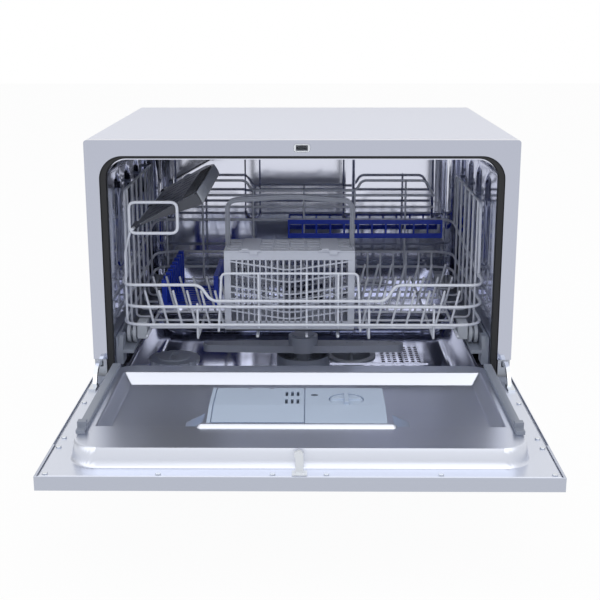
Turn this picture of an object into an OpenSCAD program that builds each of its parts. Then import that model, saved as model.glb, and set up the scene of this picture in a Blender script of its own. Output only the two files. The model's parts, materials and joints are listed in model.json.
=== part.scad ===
// Countertop dishwasher for six place settings, with its door open and its rack in.
// X points right, Y points into the cabinet from the plane of its front frame, and Z
// points up from the counter. Everything is in millimetres and at its real size.

/* [Cabinet] */
// Width of the cabinet and of the door
cab_w = 550; // [540:1:620]
// Depth of the cabinet behind the plane of its front frame
cab_d = 482; // [475:1:560]
// Height of the cabinet, feet included
cab_h = 438; // [434:1:520]
// Thickness of the wrapper and frame sheet
sheet_t = 1; // [0.8:0.1:1.5]
// Height of the rubber feet
foot_h = 10; // [6:1:12]
// Diameter of the rubber feet
foot_d = 30; // [24:1:40]
// Distance from the feet's centres to the cabinet's sides
foot_inset = 40; // [30:1:60]

/* [Front frame] */
// Width of the frame's side strips
frame_side = 18; // [16:0.5:20]
// Height of the frame's top bar
frame_top = 20; // [19:0.5:24]
// Corner radius of the mouth
mouth_r = 30; // [20:1:40]
// Depth of the frame's folded edge
frame_depth = 12; // [10:0.5:14]
// Height at which the side strips end
strip_foot_z = 150; // [148:1:156]
// Width of the gasket at the sides of the mouth
gasket_side = 8.5; // [6:0.5:8.5]
// Width of the gasket under the top bar
gasket_top = 3.5; // [2.5:0.5:3.5]

/* [Tub] */
// Distance from the cabinet's sides to the tub's walls
tub_side_gap = 25; // [23:0.5:30]
// Distance from the cabinet's top to the tub's ceiling
tub_top_gap = 26; // [25:1:30]
// Distance from the cabinet's back to the tub's back wall
tub_back_gap = 67; // [50:1:90]
// Thickness of the tub's sheet
tub_t = 1; // [0.8:0.1:1.2]
// Height of the tub's floor
tub_floor_z = 75; // [73:0.5:76]
// Height of the sill in front of the floor
sill_z = 121; // [119:0.5:121.5]
// Width of the tub floor's sloping edge
floor_slope = 24; // [20:1:24]

/* [Door] */
// Thickness of the door
door_t = 16; // [15:0.5:18]
// Gap between the closed door and the front frame
door_gap = 2; // [1.5:0.1:3]
// Height of the door's inner flange when it lies open
open_z = 130; // [129:0.5:131]
// Distance of the hinge axis from the door's outer face
hinge_inset = 2.5; // [2:0.1:3]
// Gap between the open door's rear edge and the cabinet
door_rear_gap = 1; // [0.8:0.1:2]
// Length of the skirt under the door
skirt_len = 27; // [20:1:27]
// Thickness of the door's sheets
door_sheet = 1; // [0.8:0.1:1.2]
// Height of the inner liner's raised panel
plateau_h = 20; // [19:0.5:20.5]
// Depth of the basin pressed in the raised panel
basin_h = 12; // [10:0.5:12.5]
// Radius of the hinge arms
arm_r = 32; // [30:0.5:33]
// Thickness of the hinge arms, across the cabinet
arm_t = 5; // [4:0.5:6]

/* [Dispenser] */
// Width of the detergent dispenser
disp_w = 202; // [196:1:206]
// Length of the detergent dispenser, towards the hinge
disp_l = 105; // [100:1:108]
// Width of the detergent lid
lid_w = 104; // [90:1:108]
// Diameter of the rinse aid cap
rinse_d = 38; // [34:1:40]

/* [Rack] */
// Distance from the tub's walls to the rack's side wires
rack_side_gap = 9; // [8:0.5:12]
// Distance from the front frame to the rack's front wires
rack_y = 32; // [31:0.5:34]
// Length of the rack between its front and back wires
rack_l = 352; // [340:1:356]
// Diameter of the rack's frame wires
wire_d = 4.2; // [3.6:0.1:4.4]
// Diameter of the tines
tine_d = 3.4; // [3:0.1:3.6]
// Height of the rack's lowest wires
rack_z = 171; // [170:0.5:174]
// Height of the rack's front rail above its lowest wires
rack_h = 72; // [66:1:76]
// Height of the tines above the rack's floor
tine_h = 53; // [40:1:58]
// Pitch of the tines on the left
tine_pitch_l = 19.1; // [17:0.1:20]
// Pitch of the tines on the right
tine_pitch_r = 20.1; // [18:0.1:20.5]
// Pitch of the rows of tines
row_pitch = 82; // [80:1:84]
// Diameter of the rollers
roller_d = 26; // [24:0.5:27]
// How far the rack rolls out
rack_travel = 300; // [260:1:300]

/* [Cutlery basket] */
// Width of the basket
basket_w = 174; // [160:1:174]
// Depth of the basket, front to back
basket_l = 78; // [60:1:84]
// Height of the basket without its handle
basket_h = 110; // [90:1:114]
// Thickness of the basket's walls
basket_t = 2.2; // [1.8:0.1:3]
// Height of the handle above the basket
handle_h = 64; // [50:1:70]

/* [Cup shelf] */
// Width of the shelf, from its hinge wire
shelf_w = 97; // [80:1:100]
// Thickness of the shelf
shelf_t = 3; // [2.5:0.1:4]
// Distance from the top of the mouth down to the hinge wire
shelf_drop = 100; // [96:1:106]
// Tilt of the shelf as it is left, above level
shelf_tilt = 29; // [20:1:35]

/* [Spray arm and filter] */
// Radius of the spray arm's sweep
spray_r = 151; // [130:1:152]
// Distance from the front frame to the spray arm's axis
spray_y = 214; // [208:1:216]
// Diameter of the collar under the spray arm
collar_d = 80; // [70:1:80]
// Diameter of the filter's flange
filter_d = 76; // [64:1:78]
// Diameter of the salt cap
salt_d = 76; // [64:1:78]

/* [Hidden] */
$fn = 48;

// colours, as the photograph shows them
c_wrapper = "#dde0ea";
c_steel = "#b9c2cf";
c_tub = "#aab2bf";
c_black = "#14161c";
c_white = "#eef2f6";
c_plastic = "#b4bac4";
c_dark = "#4a505c";
c_wire = "#cdd3dd";
c_tine = "#e2e6ee";
c_blue = "#1330a8";
c_disp = "#aebfce";
c_rubber = "#26282c";

// running gaps
gap = 0.3;             // between neighbours that only lie by each other
run_gap = 0.06;        // round a shaft, on the radius
slide_gap = 0.5;       // round a sliding arm

// cabinet
half_w = cab_w / 2;
mouth_half = half_w - frame_side;
mouth_top = cab_h - frame_top;
wrapper_z = foot_h + 2;
pan_h = 52;            // height of the base pan
pan_t = 2.5;
pan_z = foot_h;
inner_half = half_w - sheet_t - gap;
kick_top = 72.5;       // top of the kick plate's ledge
slot_w = 21;           // the latch's slot in the frame's top bar
slot_h = 10.6;
kick_y = 30.5;         // the kick plate's riser, behind the door skirt's sweep

// bay at the back for the connections, with the places of its three ways out
bay_y = cab_d - 30;
port_z = 38;
inlet_x = half_w - 185;
drain_x = half_w - 125;
lead_x = half_w - 70;

// tub
tub_half = half_w - tub_side_gap;
tub_top = cab_h - tub_top_gap;
tub_back_y = cab_d - tub_back_gap;
tub_front_y = frame_depth + 0.2;
tub_r = mouth_r - 3;
floor_rim_z = tub_floor_z + floor_slope;
sill_back = 32;        // rear edge of the flat sill, behind the door skirt's sweep
floor_front_y = sill_back + sill_z - tub_floor_z;   // where the 45 degree front slope ends

// door, drawn open; a point at height h on the closed door lies at y = door_y(h)
hinge_y = -(door_gap + door_t - hinge_inset);
hinge_z = open_z - (door_t - hinge_inset);
function door_y(h) = hinge_y + hinge_z - h;
door_front = door_y(cab_h);
door_rear = -door_rear_gap;
door_under = open_z - door_t;
liner_rear = door_rear - 5;      // flange of the liner, clear of the sill as the door turns
plateau_z = open_z + plateau_h;
plateau_half = mouth_half - gasket_side - 1;
plateau_front = door_y(mouth_top - gasket_top - 1);
plateau_rear = door_y(sill_z + 2);
plateau_lean = 3;      // how much each side of the raised panel draws in
plateau_r = mouth_r + 4;
basin_half = plateau_half - 25.5;
basin_front = plateau_front + 69;
basin_rear = plateau_rear - 31;
basin_z = plateau_z - basin_h;

// control strip
button_x = half_w - 165;         // the first push button
button_pitch = 50;
board_x = [half_w - 193, half_w - 31];
display_x = [75 - half_w, 165 - half_w];

// dispenser
disp_y0 = basin_front + 4;
disp_y1 = disp_y0 + disp_l;
disp_x0 = -disp_w / 2 - 4;
disp_top = plateau_z + 8;
disp_step_y = disp_y0 + 43;   // where the top starts to slope to the front
cup_x0 = disp_x0 + 6;
cup_x1 = cup_x0 + lid_w - 6;
cup_floor = door_under + 10;

// rack
rack_half = tub_half - rack_side_gap;
rack_back_y = rack_y + rack_l;
ring_low = rack_z + 17;
ring_mid = rack_z + 42;
rail_z = rack_z + rack_h;
rail_back_z = rail_z + 23;
rail_dip_z = rail_z - 22;
back_top_z = rail_z + 87;
corner_r = 32;
cross_z = rack_z + (wire_d + tine_d) / 2 - 0.8;     // wires welded across the lowest ones
base_z = rack_z + (wire_d + tine_d) / 2 + 0.2;      // base wires of the tines
post_off = (wire_d + tine_d) / 2 - 0.8;             // uprights behind the rings
post_d = tine_d - 0.2;
row_y = rack_y + 33;
run_x = rack_half - corner_r;                       // outermost wires of the floor
tine_lean = 12;                                     // lean of a tine at its top
roller_z = rack_z - wire_d / 2 - 1 + 0.4;
rail_top = roller_z - roller_d / 2 - gap;
roller_x0 = tub_half - 23.5;
roller_x1 = tub_half - 11.6;
disc_t = 4.4;                    // thickness of each of a roller's two discs
roller_ys = [row_y - 1, rack_back_y - 32];
axle_d = 5;
rail_y0 = plateau_h + 4.5;       // behind the closed door's raised panel
shelf_x = -(rack_half - 19);
shelf_z = mouth_top - shelf_drop;

// basket
basket_x = -17;
basket_y = rack_y + 10;
basket_z = base_z + tine_d / 2 + 0.5;
basket_top = basket_z + basket_h;

// first tines beside the basket, and how many fit up to the rack's side
left_tine_x = basket_x - basket_w / 2 - 2.4;
right_tine_x = basket_x + basket_w / 2 + 10.5;
tine_side = 30;
left_tines = floor((rack_half - tine_side + left_tine_x) / tine_pitch_l) + 1;
right_tines = floor((rack_half - tine_side - right_tine_x) / tine_pitch_r) + 1;

// spray arm, filter and softener
spray_z = tub_floor_z + 22;
filter_x = 74;
filter_y = spray_y + 38;
salt_x = 58 - tub_half;
salt_y = spray_y - 29;
salt_z = tub_floor_z + 13;
sump_z = 26;

// puts a piece of the dishwasher in the part's frame, which is centred on its depth
module seat() {
    translate([0, -(cab_d + door_front) / 2, 0]) children();
}

// a box between two corners, given as ranges
module box(x, y, z) {
    translate([x[0], y[0], z[0]]) cube([x[1] - x[0], y[1] - y[0], z[1] - z[0]]);
}

// the same shape on both sides of the middle
module pair() {
    children();
    mirror([1, 0, 0]) children();
}

// a flat shape in x and z, given depth along y
module along_y(y0, y1) {
    translate([0, y1, 0]) rotate([90, 0, 0]) linear_extrude(y1 - y0) children();
}

// a flat shape in y and z, given width along x
module along_x(x0, x1) {
    translate([x0, 0, 0]) rotate([90, 0, 90]) linear_extrude(x1 - x0) children();
}

// rectangle with round corners, about its centre
module round_rect(w, h, r) {
    square([w - 2 * r, h], center = true);
    square([w, h - 2 * r], center = true);
    for (sx = [-1, 1], sy = [-1, 1]) translate([sx * (w / 2 - r), sy * (h / 2 - r)]) circle(r);
}

// arch with two round top corners, standing on z0
module arch(half, z0, top, r) {
    translate([-half, z0]) square([2 * half, top - r - z0]);
    translate([r - half, z0]) square([2 * (half - r), top - z0]);
    for (s = [-1, 1]) translate([s * (half - r), top - r]) circle(r);
}

// straight wire between two points, with flats above and below
module rod(a, b, d, sides = 8) {
    v = b - a;
    len = norm(v);
    translate(a) rotate([0, acos(v.z / len), atan2(v.y, v.x)])
        rotate(180 / sides) cylinder(h = len, d = d / cos(180 / sides), $fn = sides);
}

// wire through a list of points; each piece runs on a little to close the bends, and
// every second one is a hair thinner so that no faces coincide
module wire(points, d) {
    for (i = [0 : len(points) - 2]) {
        u = (points[i + 1] - points[i]) / norm(points[i + 1] - points[i]);
        near = i == 0 ? 0 : d / 5;
        far = i == len(points) - 2 ? 0 : d / 5;
        rod(points[i] - near * u, points[i + 1] + far * u, d - (i % 2) * 0.1);
    }
}

// ---- cabinet ----

module cabinet_wrapper() {
    seat() color(c_wrapper) along_y(frame_depth, cab_d) difference() {
        arch(half_w, wrapper_z, cab_h, 4);
        arch(half_w - sheet_t, wrapper_z - 1, cab_h - sheet_t, 4 - sheet_t / 2);
    }
}

module front_frame() {
    seat() color(c_steel) difference() {
        union() {
            along_y(0, sheet_t) difference() {
                arch(half_w, strip_foot_z, cab_h, 4);
                arch(mouth_half, strip_foot_z - 1, mouth_top, mouth_r);
            }
            along_y(0, frame_depth) difference() {
                arch(half_w, strip_foot_z, cab_h, 4);
                arch(half_w - sheet_t, strip_foot_z - 1, cab_h - sheet_t, 4 - sheet_t / 2);
            }
            along_y(0, frame_depth) difference() {
                arch(mouth_half + sheet_t, strip_foot_z, mouth_top + sheet_t, mouth_r + sheet_t);
                arch(mouth_half, strip_foot_z - 1, mouth_top, mouth_r);
            }
        }
        along_y(-1, sheet_t + 1) translate([0, (cab_h + mouth_top) / 2])
            round_rect(slot_w, slot_h, 4);
    }
}

module rear_panel() {
    vent_z = 250;
    seat() color(c_wrapper) difference() {
        box([-inner_half, inner_half], [cab_d - 3, cab_d - 1.8],
            [pan_z + pan_h + gap, cab_h - sheet_t - gap]);
        for (row = [0 : 5], side = [-1, 1])
            box([side * 130 - 50, side * 130 + 50], [cab_d - 5, cab_d],
                [vent_z + row * 14, vent_z + row * 14 + 4]);
    }
}

module base_pan() {
    rear = cab_d - 3 - gap;
    bay = [inlet_x - 30, lead_x + 31];
    post_x = 128;
    seat() color(c_plastic) {
        difference() {
            box([-inner_half, inner_half], [kick_y / 6, rear], [pan_z, pan_z + pan_h]);
            difference() {
                box([pan_t - inner_half, inner_half - pan_t], [kick_y / 6 + pan_t, rear - pan_t],
                    [pan_z + pan_t, pan_z + pan_h + 1]);
                box([bay[0] - pan_t, bay[1] + pan_t], [bay_y - pan_t, cab_d], [0, 100]);
            }
            box(bay, [bay_y, cab_d], [pan_z + pan_t, pan_z + pan_h + 1]);
            // ways out for the water inlet, the drain and the mains lead
            for (way = [[inlet_x, 15], [drain_x, 11], [lead_x, 8]])
                translate([way[0], bay_y, port_z]) rotate([90, 0, 0])
                    cylinder(h = 20, r = way[1], center = true);
        }
        for (x = [-post_x, post_x], y = [90, 370])
            translate([x, y, pan_z + pan_t - 0.5])
                cylinder(h = tub_floor_z - tub_t - gap - pan_z - pan_t + 0.5, r = 9);
    }
}

module kick_plate() {
    t = 2.5;
    face_y = 2;
    seat() color(c_plastic) along_x(-inner_half, inner_half) polygon([
        [face_y, wrapper_z], [face_y + t, wrapper_z], [face_y + t, kick_top - t],
        [kick_y + t, kick_top - t], [kick_y + t, sill_z - 4], [kick_y, sill_z - 4],
        [kick_y, kick_top], [face_y, kick_top]
    ]);
}

module feet() {
    seat() color(c_rubber) for (s = [-1, 1], y = [foot_inset, cab_d - foot_inset])
        translate([s * (half_w - foot_inset), y, 0]) {
            cylinder(h = foot_h, d = foot_d);
        }
}

// ---- tub ----

module tub_shell() {
    flange = mouth_half + 4;
    seat() color(c_tub) {
        difference() {
            along_y(tub_front_y, tub_back_y) difference() {
                arch(tub_half + tub_t, floor_rim_z, tub_top + tub_t, tub_r + tub_t);
                arch(tub_half, floor_rim_z - 1, tub_top, tub_r);
            }
            // open in front of the sill's rear edge, where the door's skirt turns
            box([-half_w, half_w], [0, sill_back + 2], [0, sill_z]);
        }
        along_y(tub_front_y, tub_front_y + tub_t) difference() {
            arch(flange, strip_foot_z, mouth_top + 4, mouth_r);
            arch(tub_half, strip_foot_z - 1, tub_top, tub_r);
        }
    }
}

module tub_back() {
    rib_foot = 262;
    ribs = [[-219, 18], [-82, 25], [82, 25], [219, 18]];
    seat() color(c_tub) {
        along_y(tub_back_y, tub_back_y + tub_t)
            arch(tub_half + tub_t, floor_rim_z, tub_top + tub_t, tub_r + tub_t);
        for (rib = ribs) {
            box([rib[0] - rib[1] / 2, rib[0] + rib[1] / 2], [tub_back_y - 5, tub_back_y + 0.5],
                [rib_foot, tub_top - 3]);
            along_y(tub_back_y - 5, tub_back_y + 0.5) translate([rib[0], rib_foot])
                circle(d = rib[1]);
        }
    }
}

// the tub floor's pressed shape, grown by t
module floor_form(t, rim) {
    half = tub_half - 0.2;
    k = t * 0.414;
    back = tub_back_y - 0.2;
    intersection() {
        along_x(-half - 1, half + 1) polygon([
            [2, sill_z], [2, sill_z - t], [sill_back - k, sill_z - t],
            [floor_front_y - k, tub_floor_z - t], [back - floor_slope + k, tub_floor_z - t],
            [back, floor_rim_z - t + k], [back, rim], [sill_back + sill_z - rim, rim],
            [sill_back, sill_z]
        ]);
        along_y(0, back) polygon([
            [-half, 200], [-half, floor_rim_z - t + k], [-half + floor_slope - k, tub_floor_z - t],
            [half - floor_slope + k, tub_floor_z - t], [half, floor_rim_z - t + k], [half, 200]
        ]);
    }
}

module tub_floor() {
    half = tub_half - 0.2;
    seat() color(c_tub) difference() {
        floor_form(tub_t, floor_rim_z);
        intersection() {
            along_x(-half, half) polygon([
                [sill_back, 200], [sill_back, sill_z], [floor_front_y, tub_floor_z],
                [tub_back_y - floor_slope - 1, tub_floor_z],
                [tub_back_y - 1.2, floor_rim_z], [tub_back_y - 1.2, 200]
            ]);
            along_y(0, tub_back_y) polygon([
                [tub_t - half, 200], [tub_t - half, floor_rim_z],
                [floor_slope - half, tub_floor_z], [half - floor_slope, tub_floor_z],
                [half - tub_t, floor_rim_z], [half - tub_t, 200]
            ]);
        }
        translate([salt_x, salt_y, 0]) cylinder(h = 200, r = 31);
        box([filter_x - 34, filter_x + 112], [filter_y - 34, filter_y + 50], [60, 100]);
        translate([0, spray_y, 0]) cylinder(h = 200, r = 9);
    }
}

module door_gasket() {
    seat() color(c_black) along_y(sheet_t + 0.2, frame_depth) difference() {
        arch(mouth_half - 0.2, sill_z + 0.5, mouth_top - 0.2, mouth_r);
        arch(mouth_half - gasket_side, sill_z, mouth_top - gasket_top, mouth_r - 4);
    }
}

module latch_housing() {
    mid = (cab_h + mouth_top) / 2;
    w = 40;
    h = frame_top - 2 * sheet_t - 2 * gap - 0.6;
    seat() color(c_white) difference() {
        union() {
            box([-w / 2, w / 2], [sheet_t + gap, 44], [mid - h / 2, mid + h / 2]);
            // collar that shows in the slot
            along_y(-0.5, sheet_t + gap + 1) translate([0, mid])
                round_rect(slot_w - 2 * gap, slot_h - 2 * gap, 3.6);
        }
        along_y(-1, 32) translate([0, mid]) square([15, 7.4], center = true);
        // room for the mouth's folded edge and the tub's flange
        box([-w, w], [sheet_t + 0.1, tub_front_y + tub_t + gap], [0, mouth_top + 4 + gap]);
    }
}

module hinge_housings() {
    x0 = mouth_half + 1.2;
    x1 = inner_half;
    mid = (x0 + x1) / 2;
    slot = arm_t + 2 * slide_gap;
    seat() color(c_plastic) pair() difference() {
        box([x0, x1], [0.6, 29.5], [sill_z - 3, strip_foot_z - gap]);
        along_x(mid - slot / 2, mid + slot / 2) translate([hinge_y, hinge_z]) difference() {
            circle(arm_r + 3 + slide_gap);
            circle(arm_r - 3 - slide_gap);
        }
    }
}

module rack_rails() {
    wall = tub_half - 0.4;
    seat() color(c_plastic) pair() {
        box([roller_x0 - 1, wall], [rail_y0, tub_back_y - 12], [rail_top - 4.5, rail_top]);
        box([wall - 4, wall], [rail_y0, tub_back_y - 12], [rail_top - 20, rail_top + 18]);
        // moulded end piece with a lead-in
        along_x(roller_x1 + 1.5, wall) polygon([
            [rail_y0, rail_top - 20], [rail_y0 + 26, rail_top - 20],
            [rail_y0 + 26, rail_top + 18], [rail_y0 + 8, rail_top + 18], [rail_y0, rail_top + 4]
        ]);
    }
}

// ---- wash system ----

module spray_collar() {
    shaft_d = 14;
    seat() color(c_plastic) translate([0, spray_y, 0]) {
        difference() {
            translate([0, 0, tub_floor_z]) cylinder(h = 17, d = collar_d);
            translate([0, 0, tub_floor_z + 3]) cylinder(h = 20, d = collar_d - 5);
        }
        for (a = [45 : 90 : 315]) rotate(a)
            box([11, collar_d / 2 - 1], [-2, 2], [tub_floor_z + 2, tub_floor_z + 12]);
        translate([0, 0, tub_floor_z + 2]) cylinder(h = spray_z - tub_floor_z - 2.5, d = 26);
        translate([0, 0, spray_z - 2]) cylinder(h = 20, d = shaft_d);
        translate([0, 0, tub_floor_z - 12]) cylinder(h = 16, d = 17);
    }
}

module filter_plate() {
    x = [filter_x - 37, filter_x + 116];
    y = [filter_y - 37.5, filter_y + 54];
    z = tub_floor_z + 0.2;
    seat() color(c_tub) difference() {
        box(x, y, [z, z + 1.2]);
        translate([filter_x, filter_y, z - 1]) cylinder(h = 4, d = filter_d - 10);
        translate([0, spray_y, z - 1]) cylinder(h = 4, d = collar_d + 1);
        for (i = [0 : 6], j = [0 : 7])
            box([filter_x + 46 + i * 9, filter_x + 51 + i * 9],
                [filter_y - 32 + j * 10.4, filter_y - 26 + j * 10.4], [z - 1, z + 3]);
    }
}

module filter_cup() {
    z = tub_floor_z + 1.7;
    post_d = 14;
    seat() color(c_plastic) translate([filter_x, filter_y, 0]) {
        difference() {
            union() {
                translate([0, 0, z]) cylinder(h = 2, d = filter_d);
                translate([0, 0, 34]) cylinder(h = z - 33, d = filter_d - 12);
            }
            translate([0, 0, 36]) cylinder(h = 60, d = filter_d - 16);
        }
        translate([0, 0, z + 3]) cylinder(h = 16, d = post_d);
        for (a = [30 : 120 : 270]) rotate(a) rotate([90, 0, 0]) translate([0, 0, -1.6])
            linear_extrude(3.2) polygon([
                [4, z + 9], [4, z + 4.5], [filter_d / 2 - 7, z + 0.8],
                [filter_d / 2 - 2.5, z + 0.8], [filter_d / 2 - 2.5, z + 2.6]
            ]);
    }
}

module sump() {
    t = 2;
    x = [filter_x - 38, filter_x + 114];
    y = [filter_y - 42, filter_y + 54];
    z1 = tub_floor_z - tub_t - 0.2;
    seat() color(c_dark) difference() {
        union() {
            box(x, y, [z1 - 14, z1]);
            translate([filter_x, filter_y, sump_z]) cylinder(h = z1 - sump_z - 2, d = filter_d - 2);
        }
        box([x[0] + t, x[1] - t], [y[0] + t, y[1] - t], [z1 - 12, z1 + 1]);
        translate([filter_x, filter_y, sump_z + t]) cylinder(h = 60, d = filter_d - 2 - 2 * t);
        // spray arm's feed passes beside it
        translate([0, spray_y, 0]) cylinder(h = 100, r = 14);
    }
}

module wash_pump() {
    z = 42;
    x1 = filter_x - filter_d / 2 - 1;
    seat() color(c_dark) {
        translate([x1 - 120, filter_y, z]) rotate([0, 90, 0]) cylinder(h = 70, d = 52);
        translate([x1 - 50.5, filter_y, z]) rotate([0, 90, 0]) cylinder(h = 24, d = 44);
        translate([x1 - 30, filter_y, z]) rotate([0, 90, 0]) cylinder(h = 30.5, d = 22);
        // outlet up to the spray arm's feed, and a foot on the pan
        translate([0, spray_y, z - 12]) cylinder(h = tub_floor_z - 12.3 - z + 12, d = 17);
        box([-8.5, 8.5], [spray_y, filter_y], [z - 10, z + 6]);
        box([x1 - 100, x1 - 70], [filter_y - 14, filter_y + 14], [pan_z + pan_t + gap, z]);
    }
}

module drain_pump() {
    x = filter_x + 80;
    y = filter_y;
    seat() color(c_dark) {
        translate([filter_x + filter_d / 2 - 0.7, y, 38]) rotate([0, 90, 0])
            cylinder(h = 26, d = 18);
        translate([x - 20, y, 38]) rotate([0, 90, 0]) cylinder(h = 52, d = 40);
        box([x, x + 20], [y - 10, y + 10], [pan_z + pan_t + gap, 30]);
        // hose bend towards the spigot
        translate([x, y, 38]) rotate([-90, 0, 0]) cylinder(h = 95, d = 16);
        translate([drain_x, y + 95, port_z]) rotate([-90, 0, 0])
            cylinder(h = bay_y - 7 - y - 95, d = 16);
        box([min(x, drain_x) - 4, max(x, drain_x) + 8], [y + 85, y + 101], [30, 46]);
    }
}

module heater() {
    y = filter_y + 78;
    seat() color(c_tub) {
        translate([-90, y, 44]) rotate([0, 90, 0]) cylinder(h = 110, d = 34);
        for (x = [-70, 0]) box([x - 4, x + 4], [y - 12, y + 12], [pan_z + pan_t + gap, 44]);
    }
}

module inlet_valve() {
    seat() color(c_plastic) translate([inlet_x, bay_y, 0]) {
        box([-20, 22], [-52, -12], [20, 58]);
        box([-12, 14], [-44, -20], [pan_z + pan_t + gap, 22]);
        translate([0, -13, port_z]) rotate([-90, 0, 0]) cylinder(h = 29, r = 13.2);
    }
}

module drain_spigot() {
    seat() color(c_plastic) translate([drain_x, bay_y - 7 + gap, port_z]) rotate([-90, 0, 0]) {
        cylinder(h = 35, r = 10);
        cylinder(h = 4, r = 14);
    }
}

module cable_gland() {
    seat() color(c_black) translate([lead_x, bay_y, port_z]) rotate([-90, 0, 0]) difference() {
        union() {
            translate([0, 0, -12]) cylinder(h = 30, r = 7.7);
            translate([0, 0, gap]) cylinder(h = 6, r = 12);
            translate([0, 0, -12]) cylinder(h = 12 - pan_t - gap, r = 11);
        }
        translate([0, 0, -20]) cylinder(h = 60, r = 4);
    }
}

module softener_tank() {
    z1 = tub_floor_z - tub_t - gap;
    seat() color(c_plastic) {
        difference() {
            box([salt_x - 46, salt_x + 46], [salt_y - 60, salt_y + 70], [pan_z + pan_t + gap, z1]);
            box([salt_x - 43, salt_x + 43], [salt_y - 57, salt_y + 67], [pan_z + 6, z1 - 3]);
            translate([salt_x, salt_y, z1 - 10]) cylinder(h = 30, r = 26);
        }
        difference() {
            translate([salt_x, salt_y, z1 - 1]) cylinder(h = salt_z - z1 + 0.7, r = 30);
            translate([salt_x, salt_y, z1 - 10]) cylinder(h = 60, r = 26);
        }
    }
}

module salt_cap() {
    grips = 16;
    seat() color(c_dark) translate([salt_x, salt_y, salt_z]) difference() {
        union() {
            cylinder(h = 6, d = salt_d);
            cylinder(h = 9, d = salt_d * 0.62);
        }
        for (i = [0 : grips - 1]) rotate(i * 360 / grips)
            translate([salt_d / 2 + 1, 0, -1]) cylinder(h = 10, r = 3.2);
        box([-5, 5], [-16, 16], [5, 12]);
    }
}

module air_break() {
    wall = 3;
    y = [tub_back_y - 305, tub_back_y - 85];
    z = [floor_rim_z + 51, tub_top - 16];
    seat() color(c_white) difference() {
        box([-inner_half, -tub_half - tub_t - gap], y, z);
        box([wall - inner_half, -tub_half - tub_t - wall], [y[0] + wall, y[1] - wall],
            [z[0] + wall, z[1] - wall]);
    }
}

module spray_arm() {
    blade_t = 11;
    root_w = 34;
    tip_r = 11;
    hub_d = 44;
    seat() color(c_plastic) translate([0, spray_y, 0]) difference() {
        union() {
            translate([0, 0, spray_z]) linear_extrude(blade_t) {
                polygon([
                    [tip_r - spray_r, -tip_r], [0, -root_w / 2], [spray_r - tip_r, -tip_r],
                    [spray_r - tip_r, tip_r], [0, root_w / 2], [tip_r - spray_r, tip_r]
                ]);
                for (s = [-1, 1]) translate([s * (spray_r - tip_r), 0]) circle(tip_r);
            }
            translate([0, 0, spray_z]) cylinder(h = 24, d = hub_d);
            translate([0, 0, spray_z + 23]) cylinder(h = 3, d = hub_d - 10);
        }
        translate([0, 0, spray_z - 1]) cylinder(h = 19.5, r = 7 + run_gap);
        for (s = [-1, 1], r = [42 : 24 : spray_r - 12]) translate([s * r, s * 5, spray_z + 8])
            cylinder(h = 10, r = 1.6);
    }
}

// ---- door ----

module door_outer() {
    z0 = door_under;
    lip = 3;
    fascia_w = 2 * half_w - 16;
    seat() color(c_steel) difference() {
        union() {
            box([-half_w, half_w], [door_front, door_rear], [z0, z0 + door_sheet]);
            box([-half_w, half_w], [door_front, door_front + door_sheet], [z0, open_z]);
            pair() {
                box([half_w - door_sheet, half_w], [door_front, door_rear], [z0, open_z]);
                box([half_w - lip, half_w], [door_front, door_front + 89],
                    [open_z - door_sheet, open_z]);
            }
            // skirt that covers the hinge when the door is closed
            box([-inner_half + 1.5, inner_half - 1.5], [door_rear - 1, door_rear + skirt_len],
                [z0, z0 + door_sheet]);
        }
        // window for the control fascia
        box([-fascia_w / 2, fascia_w / 2], [door_front + 6, door_front + 56], [z0 - 1, z0 + 2]);
    }
}

// the liner's raised panel, drawn in by d on every side and lowered by d
module plateau(d) {
    z0 = open_z - 3;
    half = plateau_half - d;
    y0 = plateau_front + d;
    y1 = plateau_rear - d;
    top = plateau_z - d;
    lean = plateau_lean;
    intersection() {
        along_x(-300, 300) polygon([
            [y0, z0], [y1, z0], [y1, open_z - d], [y1 - 2 * lean, top],
            [y0 + lean, top], [y0, open_z - d]
        ]);
        along_y(-400, 0) polygon([
            [-half, z0], [half, z0], [half, open_z - d], [half - lean, top],
            [lean - half, top], [-half, open_z - d]
        ]);
        translate([0, (y0 + y1) / 2, z0]) linear_extrude(plateau_h + 10)
            round_rect(2 * half, y1 - y0, plateau_r - d);
    }
}

// the basin pressed in the raised panel; d below zero makes it larger
module basin(d) {
    top = plateau_z + 5;
    slope = 1.4;           // run of the rear wall for one of height
    intersection() {
        along_x(-300, 300) polygon([
            [basin_front + d - 1, top], [basin_front + d + 2, basin_z + d],
            [basin_rear - d - slope * basin_h, basin_z + d], [basin_rear - d + slope * 5, top]
        ]);
        along_y(-400, 0) polygon([
            [-basin_half + d - 3, top], [-basin_half + d + 8, basin_z + d],
            [basin_half - d - 8, basin_z + d], [basin_half - d + 3, top]
        ]);
    }
}

module door_liner() {
    t = door_sheet;
    edge = half_w - door_sheet - 0.2;
    seat() color(c_steel) {
        difference() {
            union() {
                box([-edge, edge], [door_front + 1.2, liner_rear], [open_z - 2 * t, open_z - t]);
                difference() {
                    plateau(0);
                    box([-300, 300], [-400, 0], [0, open_z - 2 * t]);
                }
            }
            difference() {
                plateau(t);
                basin(-t);
            }
            basin(0);
            // well for the dispenser
            box([disp_x0 + 8, disp_x0 + disp_w - 8], [disp_y0 + 6, disp_y1 - 6], [100, 160]);
        }
        // pressed darts on both sides of the dispenser
        for (s = [-1, 1]) translate([s * (disp_w / 2 + 7) - 4, disp_y1 - 4, basin_z - 0.5])
            linear_extrude(5) polygon([[0, 0], [s * 15, -65], [s * 2, -81]]);
    }
}

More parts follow.
